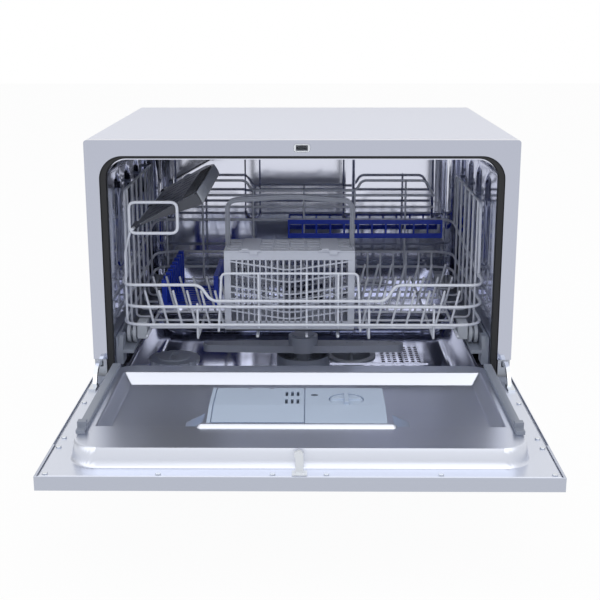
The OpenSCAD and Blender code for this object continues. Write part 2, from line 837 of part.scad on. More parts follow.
module control_fascia() {
    z0 = door_under;
    w = cab_w - 16.6;
    y = [door_front + 6.3, door_front + 55.7];
    grip = [-60, 60];
    seat() color(c_dark) difference() {
        union() {
            box([-w / 2, w / 2], y, [z0, z0 + 2.2]);
            box([-w / 2 - 4, w / 2 + 4], [y[0] - 4, y[1] + 4], [z0 + door_sheet + 0.1, z0 + 3.2]);
            // pocket for the fingers
            box([grip[0] - 2, grip[1] + 2], [y[0], y[1] - 8], [z0 + 2, z0 + 13]);
            // posts for the circuit board
            for (x = [board_x[0] + 6, board_x[1] - 6], y1 = [y[0] + 4, y[1] - 4])
                translate([x, y1, z0 + 3]) cylinder(h = 4, r = 2.5);
        }
        box(grip, [y[0] + 2, y[1] - 10], [z0 - 1, z0 + 11]);
        box(display_x, [y[0] + 12, y[1] - 14], [z0 - 1, z0 + 5]);
        for (i = [0 : 2]) translate([button_x + i * button_pitch, (y[0] + y[1]) / 2, z0 - 1])
            cylinder(h = 6, r = 6.25);
    }
}

module display_window() {
    y = [door_front + 18.6, door_front + 41.4];
    seat() color(c_black)
        box([display_x[0] + gap, display_x[1] - gap], y, [door_under + 0.4, door_under + 3.2]);
}

module control_board() {
    z = door_under + 7.2;
    seat() color("darkgreen") difference() {
        box(board_x, [door_front + 8, door_front + 54], [z, z + 1.6]);
        for (x = [board_x[0] + 6, board_x[1] - 6], y = [door_front + 10.3, door_front + 51.7])
            translate([x, y, z - 1]) cylinder(h = 4, r = 1.5);
    }
}

// push button i, counted from the middle of the fascia
module push_button(i) {
    seat() color(c_white) translate([button_x + i * button_pitch, door_front + 31, door_under]) {
        translate([0, 0, -1.5]) cylinder(h = 5.2, r = 6);
        translate([0, 0, 3.5]) cylinder(h = 2, r = 8);
    }
}

module power_button() push_button(0);
module program_button() push_button(1);
module start_button() push_button(2);

module latch_hook() {
    y = door_y((cab_h + mouth_top) / 2);
    z0 = open_z - door_sheet;
    seat() color(c_white) {
        box([-8, 8], [y - 6, y + 6], [z0, z0 + 2]);
        along_y(y - 3, y + 3) polygon([
            [-4.3, z0 + 1], [4.3, z0 + 1], [4.3, z0 + 22], [2.5, z0 + 25.5], [-1, z0 + 26.5],
            [-5.5, z0 + 24], [-5.5, z0 + 20], [-4.3, z0 + 18.5]
        ]);
    }
}

module roller_guides() {
    x = [roller_x1 - disc_t, plateau_half - plateau_lean - 0.5];
    // stop in front of the front rollers when the rack is out
    stop_y = roller_ys[0] - rack_travel - roller_d / 2 - 11;
    seat() color(c_dark) pair() {
        box(x, [stop_y - 9, plateau_rear - 10], [plateau_z, rail_top - gap]);
        box(x, [stop_y, stop_y + 9], [plateau_z, plateau_z + 11]);
    }
}

module door_screws() {
    side_x = half_w - 8.5;
    z = open_z - door_sheet;
    seat() color(c_steel) {
        for (s = [-1, 1], y = [110, 82]) translate([s * side_x, door_front + y, z])
            cylinder(h = 1.6, r = 3);
        for (s = [-1, 1]) translate([s * side_x, hinge_y - 95.5, z]) cylinder(h = 1.6, r = 3);
        for (s = [-1, 1], x = [28, 147, half_w - 10]) translate([s * x, door_front + 9, z])
            cylinder(h = 1.6, r = 3);
    }
}

module hinge_arms() {
    mid = (mouth_half + 1.2 + inner_half) / 2;
    z0 = open_z - door_sheet;
    seat() color("silver") pair() {
        along_x(mid - arm_t / 2, mid + arm_t / 2) intersection() {
            translate([hinge_y, hinge_z]) difference() {
                circle(arm_r + 3);
                circle(arm_r - 3);
            }
            polygon([
                [hinge_y, hinge_z], [hinge_y + 60, hinge_z + 42], [hinge_y + 60, hinge_z + 80],
                [hinge_y - 60, hinge_z + 80], [hinge_y - 60, z0 + 0.5], [hinge_y - 20, z0 + 0.5]
            ]);
        }
        box([mid - 5, mid + 4], [hinge_y - 52, hinge_y - 26], [z0, z0 + 2.5]);
    }
}

module dispenser_body() {
    x0 = disp_x0;
    x1 = disp_x0 + disp_w;
    lid_x1 = x0 + 5 + lid_w;
    seam = 1.2;            // shadow gap round the lid and the cap
    slope_z = plateau_z + 1;
    rinse_x = x1 - 44;
    seat() color(c_disp) difference() {
        union() {
            along_x(x0, x1) polygon([
                [disp_y0, basin_z + 0.2], [disp_y1, basin_z + 0.2], [disp_y1 - 3, disp_top],
                [disp_step_y, disp_top], [disp_y0, slope_z]
            ]);
            box([x0 + 8.4, x1 - 8.4], [disp_y0 + 6.4, disp_y1 - 6.4],
                [door_under + door_sheet + 4, basin_z + 1]);
        }
        // seat of the sliding lid: its top and its front slope lie 3 mm lower
        along_x(x0 + 5.4 - seam, lid_x1 + seam) polygon([
            [disp_y0 + 5, slope_z - 2.2], [disp_step_y, disp_top - 2.6],
            [disp_y1 + 1, disp_top - 2.6], [disp_y1 + 1, disp_top + 2],
            [disp_y0 - 20, disp_top + 2], [disp_y0 - 20, slope_z - 2.2]
        ]);
        box([cup_x0, cup_x1], [disp_y0 + 16, disp_y1 - 12], [cup_floor, 200]);
        translate([rinse_x, disp_y1 - 42, door_under + 12]) cylinder(h = 60, d = rinse_d - 8);
        translate([rinse_x, disp_y1 - 42, disp_top - 4]) cylinder(h = 60, d = rinse_d + 2 * seam);
    }
}

module dispenser_lid() {
    x0 = disp_x0 + 5.4;
    x1 = x0 + lid_w - 0.4;
    slope_z = plateau_z + 1;
    seat() color(c_disp) difference() {
        along_x(x0, x1) polygon([
            [disp_y0 + 5, slope_z - 0.8], [disp_step_y, disp_top - 2.3],
            [disp_y1 - 2.5, disp_top - 2.3], [disp_y1 - 3, disp_top],
            [disp_step_y, disp_top], [disp_y0 + 3.5, slope_z + 0.9]
        ]);
        for (i = [0 : 2], j = [0 : 1])
            box([x1 - 22 + i * 6.6, x1 - 19 + i * 6.6],
                [disp_y1 - 57 + j * 26, disp_y1 - 41 + j * 26], [100, 200]);
        // finger notches beside the catch
        for (x = [-1, 1]) box([x0 + lid_w / 2 + x * 13 - 2, x0 + lid_w / 2 + x * 13 + 2],
                              [disp_y1 - 8, disp_y1 + 2], [disp_top - 1.2, disp_top + 2]);
    }
}

module rinse_cap() {
    x = disp_x0 + disp_w - 44;
    seat() color(c_disp) translate([x, disp_y1 - 42, 0]) {
        translate([0, 0, disp_top - 3.7]) cylinder(h = 3, d = rinse_d);
        translate([0, 0, disp_top - 12]) cylinder(h = 9, d = rinse_d - 9);
        box([-2.5, 2.5], [2 - rinse_d / 2, rinse_d / 2 - 2], [disp_top - 1, disp_top + 3]);
        box([2 - rinse_d / 2, rinse_d / 2 - 2], [-1.5, 1.5], [disp_top - 1, disp_top + 1]);
    }
}

// ---- rack ----

// quarter bend of a ring wire at a front (e = 1) or back (e = -1) corner, on side s
function bend(s, e, z) = [
    for (a = [0 : 30 : 90]) [
        s * (rack_half - corner_r + corner_r * sin(a)),
        (e > 0 ? rack_y : rack_back_y) + e * corner_r * (1 - cos(a)), z
    ]
];

module rack_front() {
    x1 = rack_half - corner_r;
    post_y = rack_y + post_off;
    loop = [-107, 74];
    loop_top = rail_z + 15;
    dip = [[-136, -121], [111, 124]];
    seat() color(c_wire) {
        rod([-x1, rack_y, ring_low], [x1, rack_y, ring_low], wire_d);
        rod([-x1, rack_y, ring_mid], [x1, rack_y, ring_mid], wire_d);
        wire([[-x1, rack_y, rail_z], [dip[0][0], rack_y, rail_z], [dip[0][1], rack_y, rail_dip_z],
              [dip[1][0], rack_y, rail_dip_z], [dip[1][1], rack_y, rail_z],
              [x1, rack_y, rail_z]], wire_d);
        // loop in front of the cutlery basket, with its uprights
        wire([[loop[0] - 5, post_y, rack_z + 8], [loop[0], post_y, loop_top - 3],
              [loop[0] + 3, post_y, loop_top], [loop[1] - 3, post_y, loop_top],
              [loop[1], post_y, loop_top - 3], [loop[1] + 4, post_y, rack_z + 8]], tine_d);
        for (x = [-58, 6, 48])
            rod([x, post_y, ring_low - 4], [x, post_y, loop_top], post_d);
        // feet: the floor wires turned up at the front
        for (x = [-140, 89.5, 176])
            rod([x, post_y, rack_z - 1.7], [x, post_y, ring_mid + 2.7], post_d);
    }
}

module rack_back() {
    x1 = rack_half - corner_r;
    post_y = rack_back_y - post_off;
    dip = 85;
    post_pitch = 82;
    seat() color(c_wire) {
        for (z = [ring_low, ring_mid, rail_back_z, back_top_z - 43, back_top_z - 24])
            rod([-x1, rack_back_y, z], [x1, rack_back_y, z], wire_d);
        wire([[-x1, rack_back_y, back_top_z - 24], [12 - x1, rack_back_y, back_top_z],
              [-dip - 8, rack_back_y, back_top_z], [-dip, rack_back_y, back_top_z - 16],
              [dip, rack_back_y, back_top_z - 16], [dip + 8, rack_back_y, back_top_z],
              [x1 - 12, rack_back_y, back_top_z], [x1, rack_back_y, back_top_z - 24]], wire_d);
        for (i = [-2 : 2])
            rod([i * post_pitch, post_y, rack_z - 1.7],
                [i * post_pitch, post_y, back_top_z - (abs(i) < 2 ? 15 : -1)], post_d);
    }
}

// one side of the rack; s is -1 on the left and 1 on the right
module rack_side(s, top) {
    x = s * rack_half;
    y0 = rack_y + corner_r;
    y1 = rack_back_y - corner_r;
    post_x = s * (rack_half - post_off);
    seat() color(c_wire) {
        for (z = [ring_low, ring_mid])
            wire(concat(bend(s, 1, z), [for (i = [3 : -1 : 0]) bend(s, -1, z)[i]]), wire_d);
        wire(concat(bend(s, 1, rail_z), [for (i = [3 : -1 : 0]) bend(s, -1, rail_back_z)[i]]),
             wire_d);
        wire([[x, y0 + 20, rail_z], [x, y0 + 26, top], [x, y1, top],
              [x, y1 + 6, rail_back_z]], wire_d);
        for (i = [0 : 5]) {
            y = y0 + 30 + i * 42;
            rod([post_x, y, rack_z - 1], [post_x, y, top + 1], post_d);
            rod([post_x, y, rack_z], [s * (rack_half - 26), y, rack_z], tine_d);
        }
    }
}

module rack_left() rack_side(-1, shelf_z + 42);
module rack_right() rack_side(1, shelf_z + 25);

module rack_floor() {
    x1 = run_x + wire_d / 2 - gap;
    y0 = rack_y + post_off + tine_d / 2 + 0.3;
    y1 = rack_back_y - post_off - tine_d / 2 - 0.3;
    runs = [-run_x, -140, -60, 6, 48, 89.5, 176, run_x];
    seat() color(c_wire) {
        for (x = runs) rod([x, y0, rack_z], [x, y1, rack_z], wire_d);
        for (y = [row_y + row_pitch / 2 : row_pitch : y1])
            rod([-x1, y, cross_z], [x1, y, cross_z], tine_d);
    }
}

// one row of leaning tines with its base wire
module tine_row(y, x0, pitch, count, s, lean) {
    foot_z = base_z - 1;
    seat() color(c_tine) {
        rod([x0 - s * 4, y, base_z], [x0 + s * ((count - 1) * pitch + 6), y, base_z], tine_d);
        for (i = [0 : count - 1]) {
            x = x0 + s * i * pitch;
            rod([x, y, foot_z], [x + s * lean, y, foot_z + tine_h], tine_d);
        }
    }
}

module tines_left() {
    for (row = [0, 1])
        tine_row(row_y + row * row_pitch, left_tine_x, tine_pitch_l, left_tines, -1, tine_lean);
}

module tines_right() {
    for (row = [0, 1])
        tine_row(row_y + row * row_pitch, right_tine_x, tine_pitch_r, right_tines, 1, tine_lean);
}

module tines_rear() {
    tine_row(row_y + 2 * row_pitch, right_tine_x, tine_pitch_r, right_tines, 1, tine_lean);
    tine_row(row_y + 3 * row_pitch, right_tine_x, tine_pitch_r, right_tines, 1, 0);
}

module rack_loop() {
    y = rack_y - 1;
    hinge_y1 = rack_back_y - 7.8;
    left = shelf_x - 4;
    top = shelf_z + 36;
    low = shelf_z - 5;
    foot_x = -(rack_half - corner_r * 0.06);
    seat() color(c_tine) {
        wire([[left, y, low], [left, y, top - 3], [left + 3, y, top], [left + 60, y, top],
              [left + 63, y, top - 3], [left + 63, y, low + 3], [left + 60, y, low],
              [left, y, low]], wire_d);
        // stem down to the rack's front corner
        wire([[left, y, low], [left - 8, y + 6, low - 26], [left - 9, y + 8, ring_low + 8],
              [left - 9, y + 12, ring_low + 3.5]], tine_d);
        // round hinge wire of the cup shelf
        translate([shelf_x, y, shelf_z]) rotate([-90, 0, 0])
            cylinder(h = hinge_y1 - y + 1.5, d = wire_d);
        rod([left, y, shelf_z], [shelf_x + 1, y, shelf_z], wire_d - 0.4);
        rod([shelf_x, hinge_y1, shelf_z], [shelf_x, hinge_y1, ring_low + 3], tine_d);
    }
}

module roller_brackets() {
    x = [run_x + wire_d / 2 + gap, roller_x0 - 2];
    seat() color(c_plastic) pair() for (y = roller_ys) {
        box(x, [y - 11, y + 11], [roller_z - 6, ring_low - wire_d / 2 - gap]);
        translate([x[0], y, roller_z]) rotate([0, 90, 0]) cylinder(h = x[1] - x[0] + 1, r = 8);
        translate([x[1] - 1, y, roller_z]) rotate([0, 90, 0])
            cylinder(h = roller_x1 - x[1] + 0.6, d = axle_d);
    }
}

// twin discs on one hub, at the right; y is the place along the rack
module roller(y) {
    seat() color(c_plastic) translate([0, y, roller_z]) rotate([0, 90, 0]) difference() {
        union() {
            for (x = [roller_x0, roller_x1 - disc_t])
                translate([0, 0, x]) cylinder(h = disc_t, d = roller_d);
            translate([0, 0, roller_x0 - 1]) cylinder(h = roller_x1 - roller_x0 + 1, r = 6);
        }
        translate([0, 0, roller_x0 - 2]) cylinder(h = 20, r = axle_d / 2 + run_gap);
    }
}

module rollers_fl() mirror([1, 0, 0]) roller(roller_ys[0]);
module rollers_fr() roller(roller_ys[0]);
module rollers_rl() mirror([1, 0, 0]) roller(roller_ys[1]);
module rollers_rr() roller(roller_ys[1]);

module glass_strip() {
    x0 = -26;
    cells = 11;
    pitch = 22.5;
    z = [ring_mid + 24, ring_mid + 54];
    y1 = rack_back_y - post_off - tine_d / 2 - gap;
    seat() color(c_blue) difference() {
        box([x0, x0 + cells * pitch + 3], [y1 - 3, y1], z);
        for (i = [0 : cells - 1])
            box([x0 + 3 + i * pitch, x0 + i * pitch + pitch], [y1 - 5, y1 + 2],
                [z[0] + 8, z[1] - 7]);
    }
}

module spike_holder() {
    x = [-206, -122];
    y = [row_y + row_pitch + 26, row_y + row_pitch + 142];
    z = cross_z + tine_d / 2 + gap;
    fins = 9;
    fin_l = 10;
    step = (y[1] - y[0] - fin_l) / (fins - 1);
    seat() color(c_blue) {
        difference() {
            box(x, y, [z, z + 4]);
            box([x[0] + 8, x[1] - 8], [y[0] + 8, y[1] - 8], [z - 1, z + 5]);
        }
        // two fluted walls of upright fins, with slats across between them
        for (i = [0 : fins - 1]) {
            fin = [y[0] + i * step, y[0] + i * step + fin_l];
            box([x[0] + i * 1.6, x[0] + i * 1.6 + 8], fin, [z, z + 40 + i * 2.4]);
            box([x[1] - 8, x[1] - 1], fin, [z, z + 46]);
            box([x[0] + 2, x[1] - 2], [fin[0], fin[0] + 5], [z, z + 3.5]);
        }
    }
}

module cutlery_basket() {
    x = [basket_x - basket_w / 2, basket_x + basket_w / 2];
    y = [basket_y, basket_y + basket_l];
    t = basket_t;
    bars = 12;
    win_z = [basket_z + 26, basket_top - 14];
    pitch = (basket_w - 24) / bars;
    band = (win_z[1] - win_z[0]) / 5;
    grip_y = basket_y + basket_l / 2;
    seat() color(c_plastic) {
        difference() {
            box(x, y, [basket_z, basket_top]);
            for (i = [0, 1]) box([x[0] + t + i * basket_w / 2 - i * t / 2,
                                  x[0] + basket_w / 2 - t / 2 + i * (basket_w / 2 - t / 2)],
                                 [y[0] + t, y[1] - t], [basket_z + t, basket_top + 1]);
            for (i = [0 : bars - 1], j = [0 : 4])
                box([x[0] + 13.5 + i * pitch, x[0] + 10.5 + (i + 1) * pitch],
                    [y[0] - 1, y[1] + 1], [win_z[0] + j * band, win_z[0] + (j + 1) * band - 2.5]);
            for (i = [0 : 8], j = [0 : 4])
                box([x[0] + 10 + i * 18, x[0] + 22 + i * 18], [y[0] + 8 + j * 13, y[0] + 16 + j * 13],
                    [basket_z - 1, basket_z + t + 1]);
        }
        // handle: two legs in the end walls and a bar across
        for (e = [0, 1]) box([x[e] - e * 6, x[e] + 6 - e * 6], [grip_y - 5, grip_y + 5],
                             [basket_top - 30, basket_top + handle_h - 4]);
        along_y(grip_y - 5, grip_y + 5) polygon([
            [x[0], basket_top + handle_h - 8], [x[0] + 6, basket_top + handle_h - 8],
            [x[0] + 12, basket_top + handle_h - 2], [basket_x, basket_top + handle_h],
            [x[1] - 12, basket_top + handle_h - 2], [x[1] - 6, basket_top + handle_h - 8],
            [x[1], basket_top + handle_h - 8], [x[1] - 9, basket_top + handle_h + 3],
            [basket_x, basket_top + handle_h + 6], [x[0] + 9, basket_top + handle_h + 3]
        ]);
    }
}

module cup_shelf() {
    y0 = rack_y - 4;
    y1 = rack_back_y - 14;
    barrel_r = wire_d / 2 + 2;
    rim_h = 16;
    rim_t = 1.8;
    seat() color(c_plastic) translate([shelf_x, 0, shelf_z]) rotate([0, -shelf_tilt, 0]) difference() {
        union() {
            translate([0, 0, -shelf_t / 2]) linear_extrude(shelf_t) polygon([
                [1, y0 + 14], [14, y0 + 6], [shelf_w - 3, y0 + 6], [shelf_w, y0 + 12],
                [shelf_w, y1 - 60], [shelf_w - 24, y1], [1, y1]
            ]);
            for (y = [y0 + 14, (y0 + y1) / 2, y1 - 28]) translate([0, y, 0]) rotate([-90, 0, 0])
                cylinder(h = 28, r = barrel_r);
            // rim turned down along the front and the inner edge, and stiffening ribs
            along_y(y0 + 6, y0 + 6 + rim_t)
                polygon([[14, 0], [shelf_w - 1, 0], [shelf_w - 1, -rim_h]]);
            box([shelf_w - 0.2 - rim_t, shelf_w - 0.2], [y0 + 6.6, y1 - 60], [-rim_h, 0.5]);
            for (i = [0 : 13]) box([shelf_w - 22, shelf_w - 2],
                                   [y0 + 24 + i * 18, y0 + 26 + i * 18], [0, 3.5]);
        }
        translate([0, y0 - 1, 0]) rotate([-90, 0, 0]) cylinder(h = 500, r = wire_d / 2 + run_gap);
        // drain slots
        for (i = [0 : 7], j = [0, 1])
            box([14 + j * 30, 38 + j * 30], [y0 + 30 + i * 36, y0 + 38 + i * 36], [-9, 9]);
    }
}

cabinet_wrapper();
front_frame();
rear_panel();
base_pan();
kick_plate();
feet();
tub_shell();
tub_back();
tub_floor();
door_gasket();
latch_housing();
hinge_housings();
rack_rails();
spray_collar();
filter_plate();
sump();
wash_pump();
drain_pump();
heater();
inlet_valve();
drain_spigot();
cable_gland();
softener_tank();
air_break();
salt_cap();
filter_cup();
spray_arm();
door_outer();
door_liner();
control_fascia();
display_window();
control_board();
latch_hook();
roller_guides();
door_screws();
hinge_arms();
dispenser_body();
dispenser_lid();
rinse_cap();
power_button();
program_button();
start_button();
rack_front();
rack_back();
rack_left();
rack_right();
rack_floor();
tines_left();
tines_right();
tines_rear();
rack_loop();
roller_brackets();
rollers_fl();
rollers_fr();
rollers_rl();
rollers_rr();
glass_strip();
spike_holder();
cutlery_basket();
cup_shelf();
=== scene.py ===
import json
import math
import bmesh
import bpy
import mathutils
import numpy as np
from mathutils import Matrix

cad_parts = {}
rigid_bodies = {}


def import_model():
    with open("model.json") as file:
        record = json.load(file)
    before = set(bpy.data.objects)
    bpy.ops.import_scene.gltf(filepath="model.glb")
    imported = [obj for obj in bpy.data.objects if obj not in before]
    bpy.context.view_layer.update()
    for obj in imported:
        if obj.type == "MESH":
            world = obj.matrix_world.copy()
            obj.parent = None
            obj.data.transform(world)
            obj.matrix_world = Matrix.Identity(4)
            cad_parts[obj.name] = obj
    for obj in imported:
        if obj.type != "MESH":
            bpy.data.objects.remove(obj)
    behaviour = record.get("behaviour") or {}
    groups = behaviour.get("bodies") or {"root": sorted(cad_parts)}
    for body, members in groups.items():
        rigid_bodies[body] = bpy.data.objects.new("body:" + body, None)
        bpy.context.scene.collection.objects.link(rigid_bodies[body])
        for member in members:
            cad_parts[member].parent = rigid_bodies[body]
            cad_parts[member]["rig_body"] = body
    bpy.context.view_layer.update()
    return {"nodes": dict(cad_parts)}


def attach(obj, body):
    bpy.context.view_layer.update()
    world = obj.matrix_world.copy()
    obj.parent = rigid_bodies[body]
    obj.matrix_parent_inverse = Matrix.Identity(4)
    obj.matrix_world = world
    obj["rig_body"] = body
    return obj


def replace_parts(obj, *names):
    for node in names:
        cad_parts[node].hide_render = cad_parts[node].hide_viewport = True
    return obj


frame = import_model()
nodes = frame["nodes"]


# ---- Cabinet wrapper ----
# One sheet of steel folded over the top and both sides, screwed to the base pan.
# Polyester powder coat: satin white, with the faint orange peel of a baked coat.

def linear(code):
    """sRGB hex to linear colour: each channel over 255, then the sRGB curve undone."""
    c = np.array([int(code[i:i + 2], 16) for i in (1, 3, 5)]) / 255
    return (*np.where(c <= 0.04045, c / 12.92, ((c + 0.055) / 1.055) ** 2.4).tolist(), 1.0)


def add_node(material, kind, settings=(), links=()):
    """Adds a node, sets its properties and sockets, and links other nodes' outputs to it."""
    tree = material.node_tree
    node = tree.nodes.new(kind)
    for key, value in dict(settings).items():
        if isinstance(key, str) and hasattr(node, key):
            setattr(node, key, value)
        else:
            node.inputs[key].default_value = value
    for key, output in dict(links).items():
        tree.links.new(output, node.inputs[key])
    return node


def new_material(name, code, metallic=0.0, roughness=0.5, **sockets):
    """A material with one shader, whose constants are set on the shader's own sockets."""
    material = bpy.data.materials.new(name)
    material.use_nodes = True
    shader = material.node_tree.nodes["Principled BSDF"]
    shader.inputs["Base Color"].default_value = linear(code)
    shader.inputs["Metallic"].default_value = metallic
    shader.inputs["Roughness"].default_value = roughness
    for key, value in sockets.items():
        shader.inputs[key.replace("_", " ")].default_value = value
    return material


def grained(material, size_mm, depth_mm, stretch=(1, 1, 1)):
    """Surface grain: noise with features of size_mm, drawn out along an axis by stretch,
    gives the bump its depth. Moulded grain and brush lines are finer on the real pieces,
    and are drawn 0.5 to 1 mm wide here so that they show."""
    shader = material.node_tree.nodes["Principled BSDF"]
    where = add_node(material, "ShaderNodeTexCoord")
    turned = add_node(material, "ShaderNodeMapping", {"Scale": [1 / s for s in stretch]},
                      {"Vector": where.outputs["Object"]})
    noise = add_node(material, "ShaderNodeTexNoise", {"Scale": 1000 / size_mm, "Detail": 3.0},
                     {"Vector": turned.outputs["Vector"]})
    bump = add_node(material, "ShaderNodeBump", {"Strength": 0.6, "Distance": depth_mm / 1000},
                    {"Height": noise.outputs["Fac"]})
    material.node_tree.links.new(bump.outputs["Normal"], shader.inputs["Normal"])
    return material


def body_of(node):
    """Name of the CAD body that a node belongs to."""
    return nodes[node]["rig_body"]


def softened(node, material, width_mm, steps=2, angle=38):
    """Copy of a CAD node with its doubles merged and flat faces joined, and its edges
    rounded by width_mm; it stands for the node."""
    mesh = nodes[node].data.copy()
    work = bmesh.new()
    work.from_mesh(mesh)
    bmesh.ops.remove_doubles(work, verts=work.verts, dist=2e-6)
    bmesh.ops.dissolve_limit(work, angle_limit=math.radians(0.6), verts=work.verts,
                             edges=work.edges)
    work.to_mesh(mesh)
    work.free()
    mesh.materials.clear()
    mesh.materials.append(material)
    mesh.polygons.foreach_set("use_smooth", np.ones(len(mesh.polygons), bool))
    mesh.set_sharp_from_angle(angle=math.radians(30))
    piece = bpy.data.objects.new(node + "_finished", mesh)
    bpy.context.scene.collection.objects.link(piece)
    if width_mm:
        bevel = piece.modifiers.new("rounded edges", "BEVEL")
        bevel.width = width_mm / 1000
        bevel.segments = steps
        bevel.limit_method = "ANGLE"
        bevel.angle_limit = math.radians(angle)
        bevel.harden_normals = True
    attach(piece, body_of(node))
    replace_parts(piece, node)
    return piece


white_powder_coat = grained(new_material("powder_coated_steel_white", "#DEE1EE", 0.0, 0.4),
                            2.5, 0.02)
softened("cabinet_wrapper", white_powder_coat, 0.4)

# ---- Front frame ----
# Stainless steel strip folded round the mouth, with the striker's slot in its top bar.
# Bright annealed: an even silver with crisp reflections and no brushing.

bright_steel = new_material("bright_annealed_steel", "#B9BDCB", 1.0, 0.08)
softened("front_frame", bright_steel, 0.35)

# ---- Rear panel, base pan, kick plate and feet ----
# The rear is painted sheet with pressed louvres. The pan and the kick plate are moulded
# polypropylene in light grey, and the feet are pushed-in rubber.

grey_pp = grained(new_material("moulded_polypropylene_grey", "#9AA0AA", 0.0, 0.5), 0.6, 0.01)
foot_rubber = grained(new_material("moulded_rubber_black", "#1A1B1F", 0.0, 0.8), 0.8, 0.02)
softened("rear_panel", white_powder_coat, 0.2)
softened("base_pan", grey_pp, 0.5)
softened("kick_plate", grey_pp, 0.5)
softened("feet", foot_rubber, 1.2, 3)

# ---- Tub ----
# Deep-drawn stainless steel, welded from a folded shell, a ribbed back and a pressed floor.
# The inside keeps the mill's bright finish, so it mirrors the rack and its own walls.

tub_steel = grained(new_material("mill_finished_steel", "#D4D7E5", 1.0, 0.08),
                    6.0, 0.01, (1, 6, 1))
FRAME_TO_CENTRE = 72.5   # mm from the part's middle back to the front frame's plane


def faces_of(rows, columns, wrap, caps):
    """Quads between neighbouring rows and columns of a grid; wrap joins the last column to
    the first, and caps closes the first and last row with one face each."""
    i, j = np.meshgrid(np.arange(rows - 1), np.arange(columns - (0 if wrap else 1)),
                       indexing="ij")
    k = (j + 1) % columns
    quads = np.stack([i * columns + j, i * columns + k, (i + 1) * columns + k,
                      (i + 1) * columns + j], -1).reshape(-1, 4).tolist()
    if caps:
        quads += [list(range(columns))[::-1],
                  list(range((rows - 1) * columns, rows * columns))]
    return quads


def new_piece(name, body, material, grids, wrap=True, caps=True, sharp=50, hole=None,
              wall_mm=0.0, toward=None):
    """One object from several grids of points in millimetres from the front frame's plane.
    Faces whose middle lies in hole(points) are left out. A closed form has its normals made
    to point outwards; an open sheet is turned to face toward, and gets its wall behind."""
    verts, faces, first = [], [], 0
    for grid in grids:
        rows, columns = grid.shape[:2]
        verts.append(grid.reshape(-1, 3))
        faces += [[first + v for v in face] for face in faces_of(rows, columns, wrap, caps)]
        first += rows * columns
    verts = np.vstack(verts)
    if hole is not None:
        middles = verts[np.array(faces)].mean(axis=1)
        faces = [face for face, gone in zip(faces, hole(middles)) if not gone]
    points = (verts - (0, FRAME_TO_CENTRE, 0)) / 1000
    mesh = bpy.data.meshes.new(name)
    mesh.from_pydata(points.tolist(), [], faces)
    work = bmesh.new()
    work.from_mesh(mesh)
    if not caps:
        bmesh.ops.remove_doubles(work, verts=work.verts, dist=1e-6)
    bmesh.ops.recalc_face_normals(work, faces=work.faces)
    if toward is not None:
        lean = sum((f.normal * f.calc_area() for f in work.faces), mathutils.Vector())
        if lean.dot(toward) < 0:
            bmesh.ops.reverse_faces(work, faces=work.faces)
    work.to_mesh(mesh)
    work.free()
    mesh.polygons.foreach_set("use_smooth", np.ones(len(mesh.polygons), bool))
    mesh.set_sharp_from_angle(angle=math.radians(sharp))
    mesh.materials.append(material)
    piece = bpy.data.objects.new(name, mesh)
    bpy.context.scene.collection.objects.link(piece)
    if wall_mm:
        wall = piece.modifiers.new("sheet thickness", "SOLIDIFY")
        wall.thickness = wall_mm / 1000
        wall.offset = -1
    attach(piece, body)
    return piece


def ramp(t):
    """Smooth step: t held between 0 and 1, then 3t^2 - 2t^3."""
    t = np.clip(t, 0, 1)
    return t * t * (3 - 2 * t)


def to_capsule(u, v, start, end):
    """Distance of each (u, v) from the straight line between two points."""
    a, b = np.array(start, float), np.array(end, float)
    along = ((u - a[0]) * (b - a)[0] + (v - a[1]) * (b - a)[1]) / ((b - a) @ (b - a))
    along = np.clip(along, 0, 1)
    return np.hypot(u - a[0] - along * (b - a)[0], v - a[1] - along * (b - a)[1])


def graded(*stretches):
    """Grid lines from stretches of (start, end, spacing), each cut into equal steps."""
    lines = [np.linspace(a, b, max(2, int(round(abs(b - a) / step)) + 1))
             for a, b, step in stretches]
    return np.unique(np.round(np.concatenate(lines), 4))


tub_half, tub_top, tub_front, tub_back_y = 250.0, 412.0, 12.2, 415.0
tub_corner, tub_turn, rim_z = 27.0, 18.0, 99.0


def tub_arch(inset):
    """Points round the arch of the tub's section for each inset: up one side, round a
    corner, over the ceiling and down; rows follow inset, columns the way round."""
    d = np.asarray(inset, float)[:, None]
    half, top, r = tub_half - d, tub_top - d, np.maximum(tub_corner - d, 4)
    up = np.linspace(0, 1, 60)[None]
    turn = np.linspace(0, np.pi / 2, 12)[None, 1:]
    over = np.linspace(0, 1, 60)[None, 1:]
    x = np.hstack([-half + 0 * up, -half + r * (1 - np.cos(turn)),
                   (-half + r) + over * 2 * (half - r), half - r + r * np.sin(turn),
                   half + 0 * up[:, 1:]])
    z = np.hstack([rim_z + up * (top - r - rim_z), top - r + r * np.sin(turn),
                   top + 0 * over, top - r + r * np.cos(turn),
                   (top - r) + up[:, 1:] * (rim_z - top + r)])
    return x, z


depth = graded((tub_front, tub_back_y - tub_turn, 2.5))
bend_angle = np.linspace(0, np.pi / 2, 10)[1:]
sweep_y = np.concatenate([[tub_front, tub_front], depth,
                          tub_back_y - tub_turn * (1 - np.sin(bend_angle))])
sweep_inset = np.concatenate([[-9.0, -0.8], 0 * depth, tub_turn * (1 - np.cos(bend_angle))])
arch_x, arch_z = tub_arch(sweep_inset)
arch_y = sweep_y[:, None] + 0 * arch_x
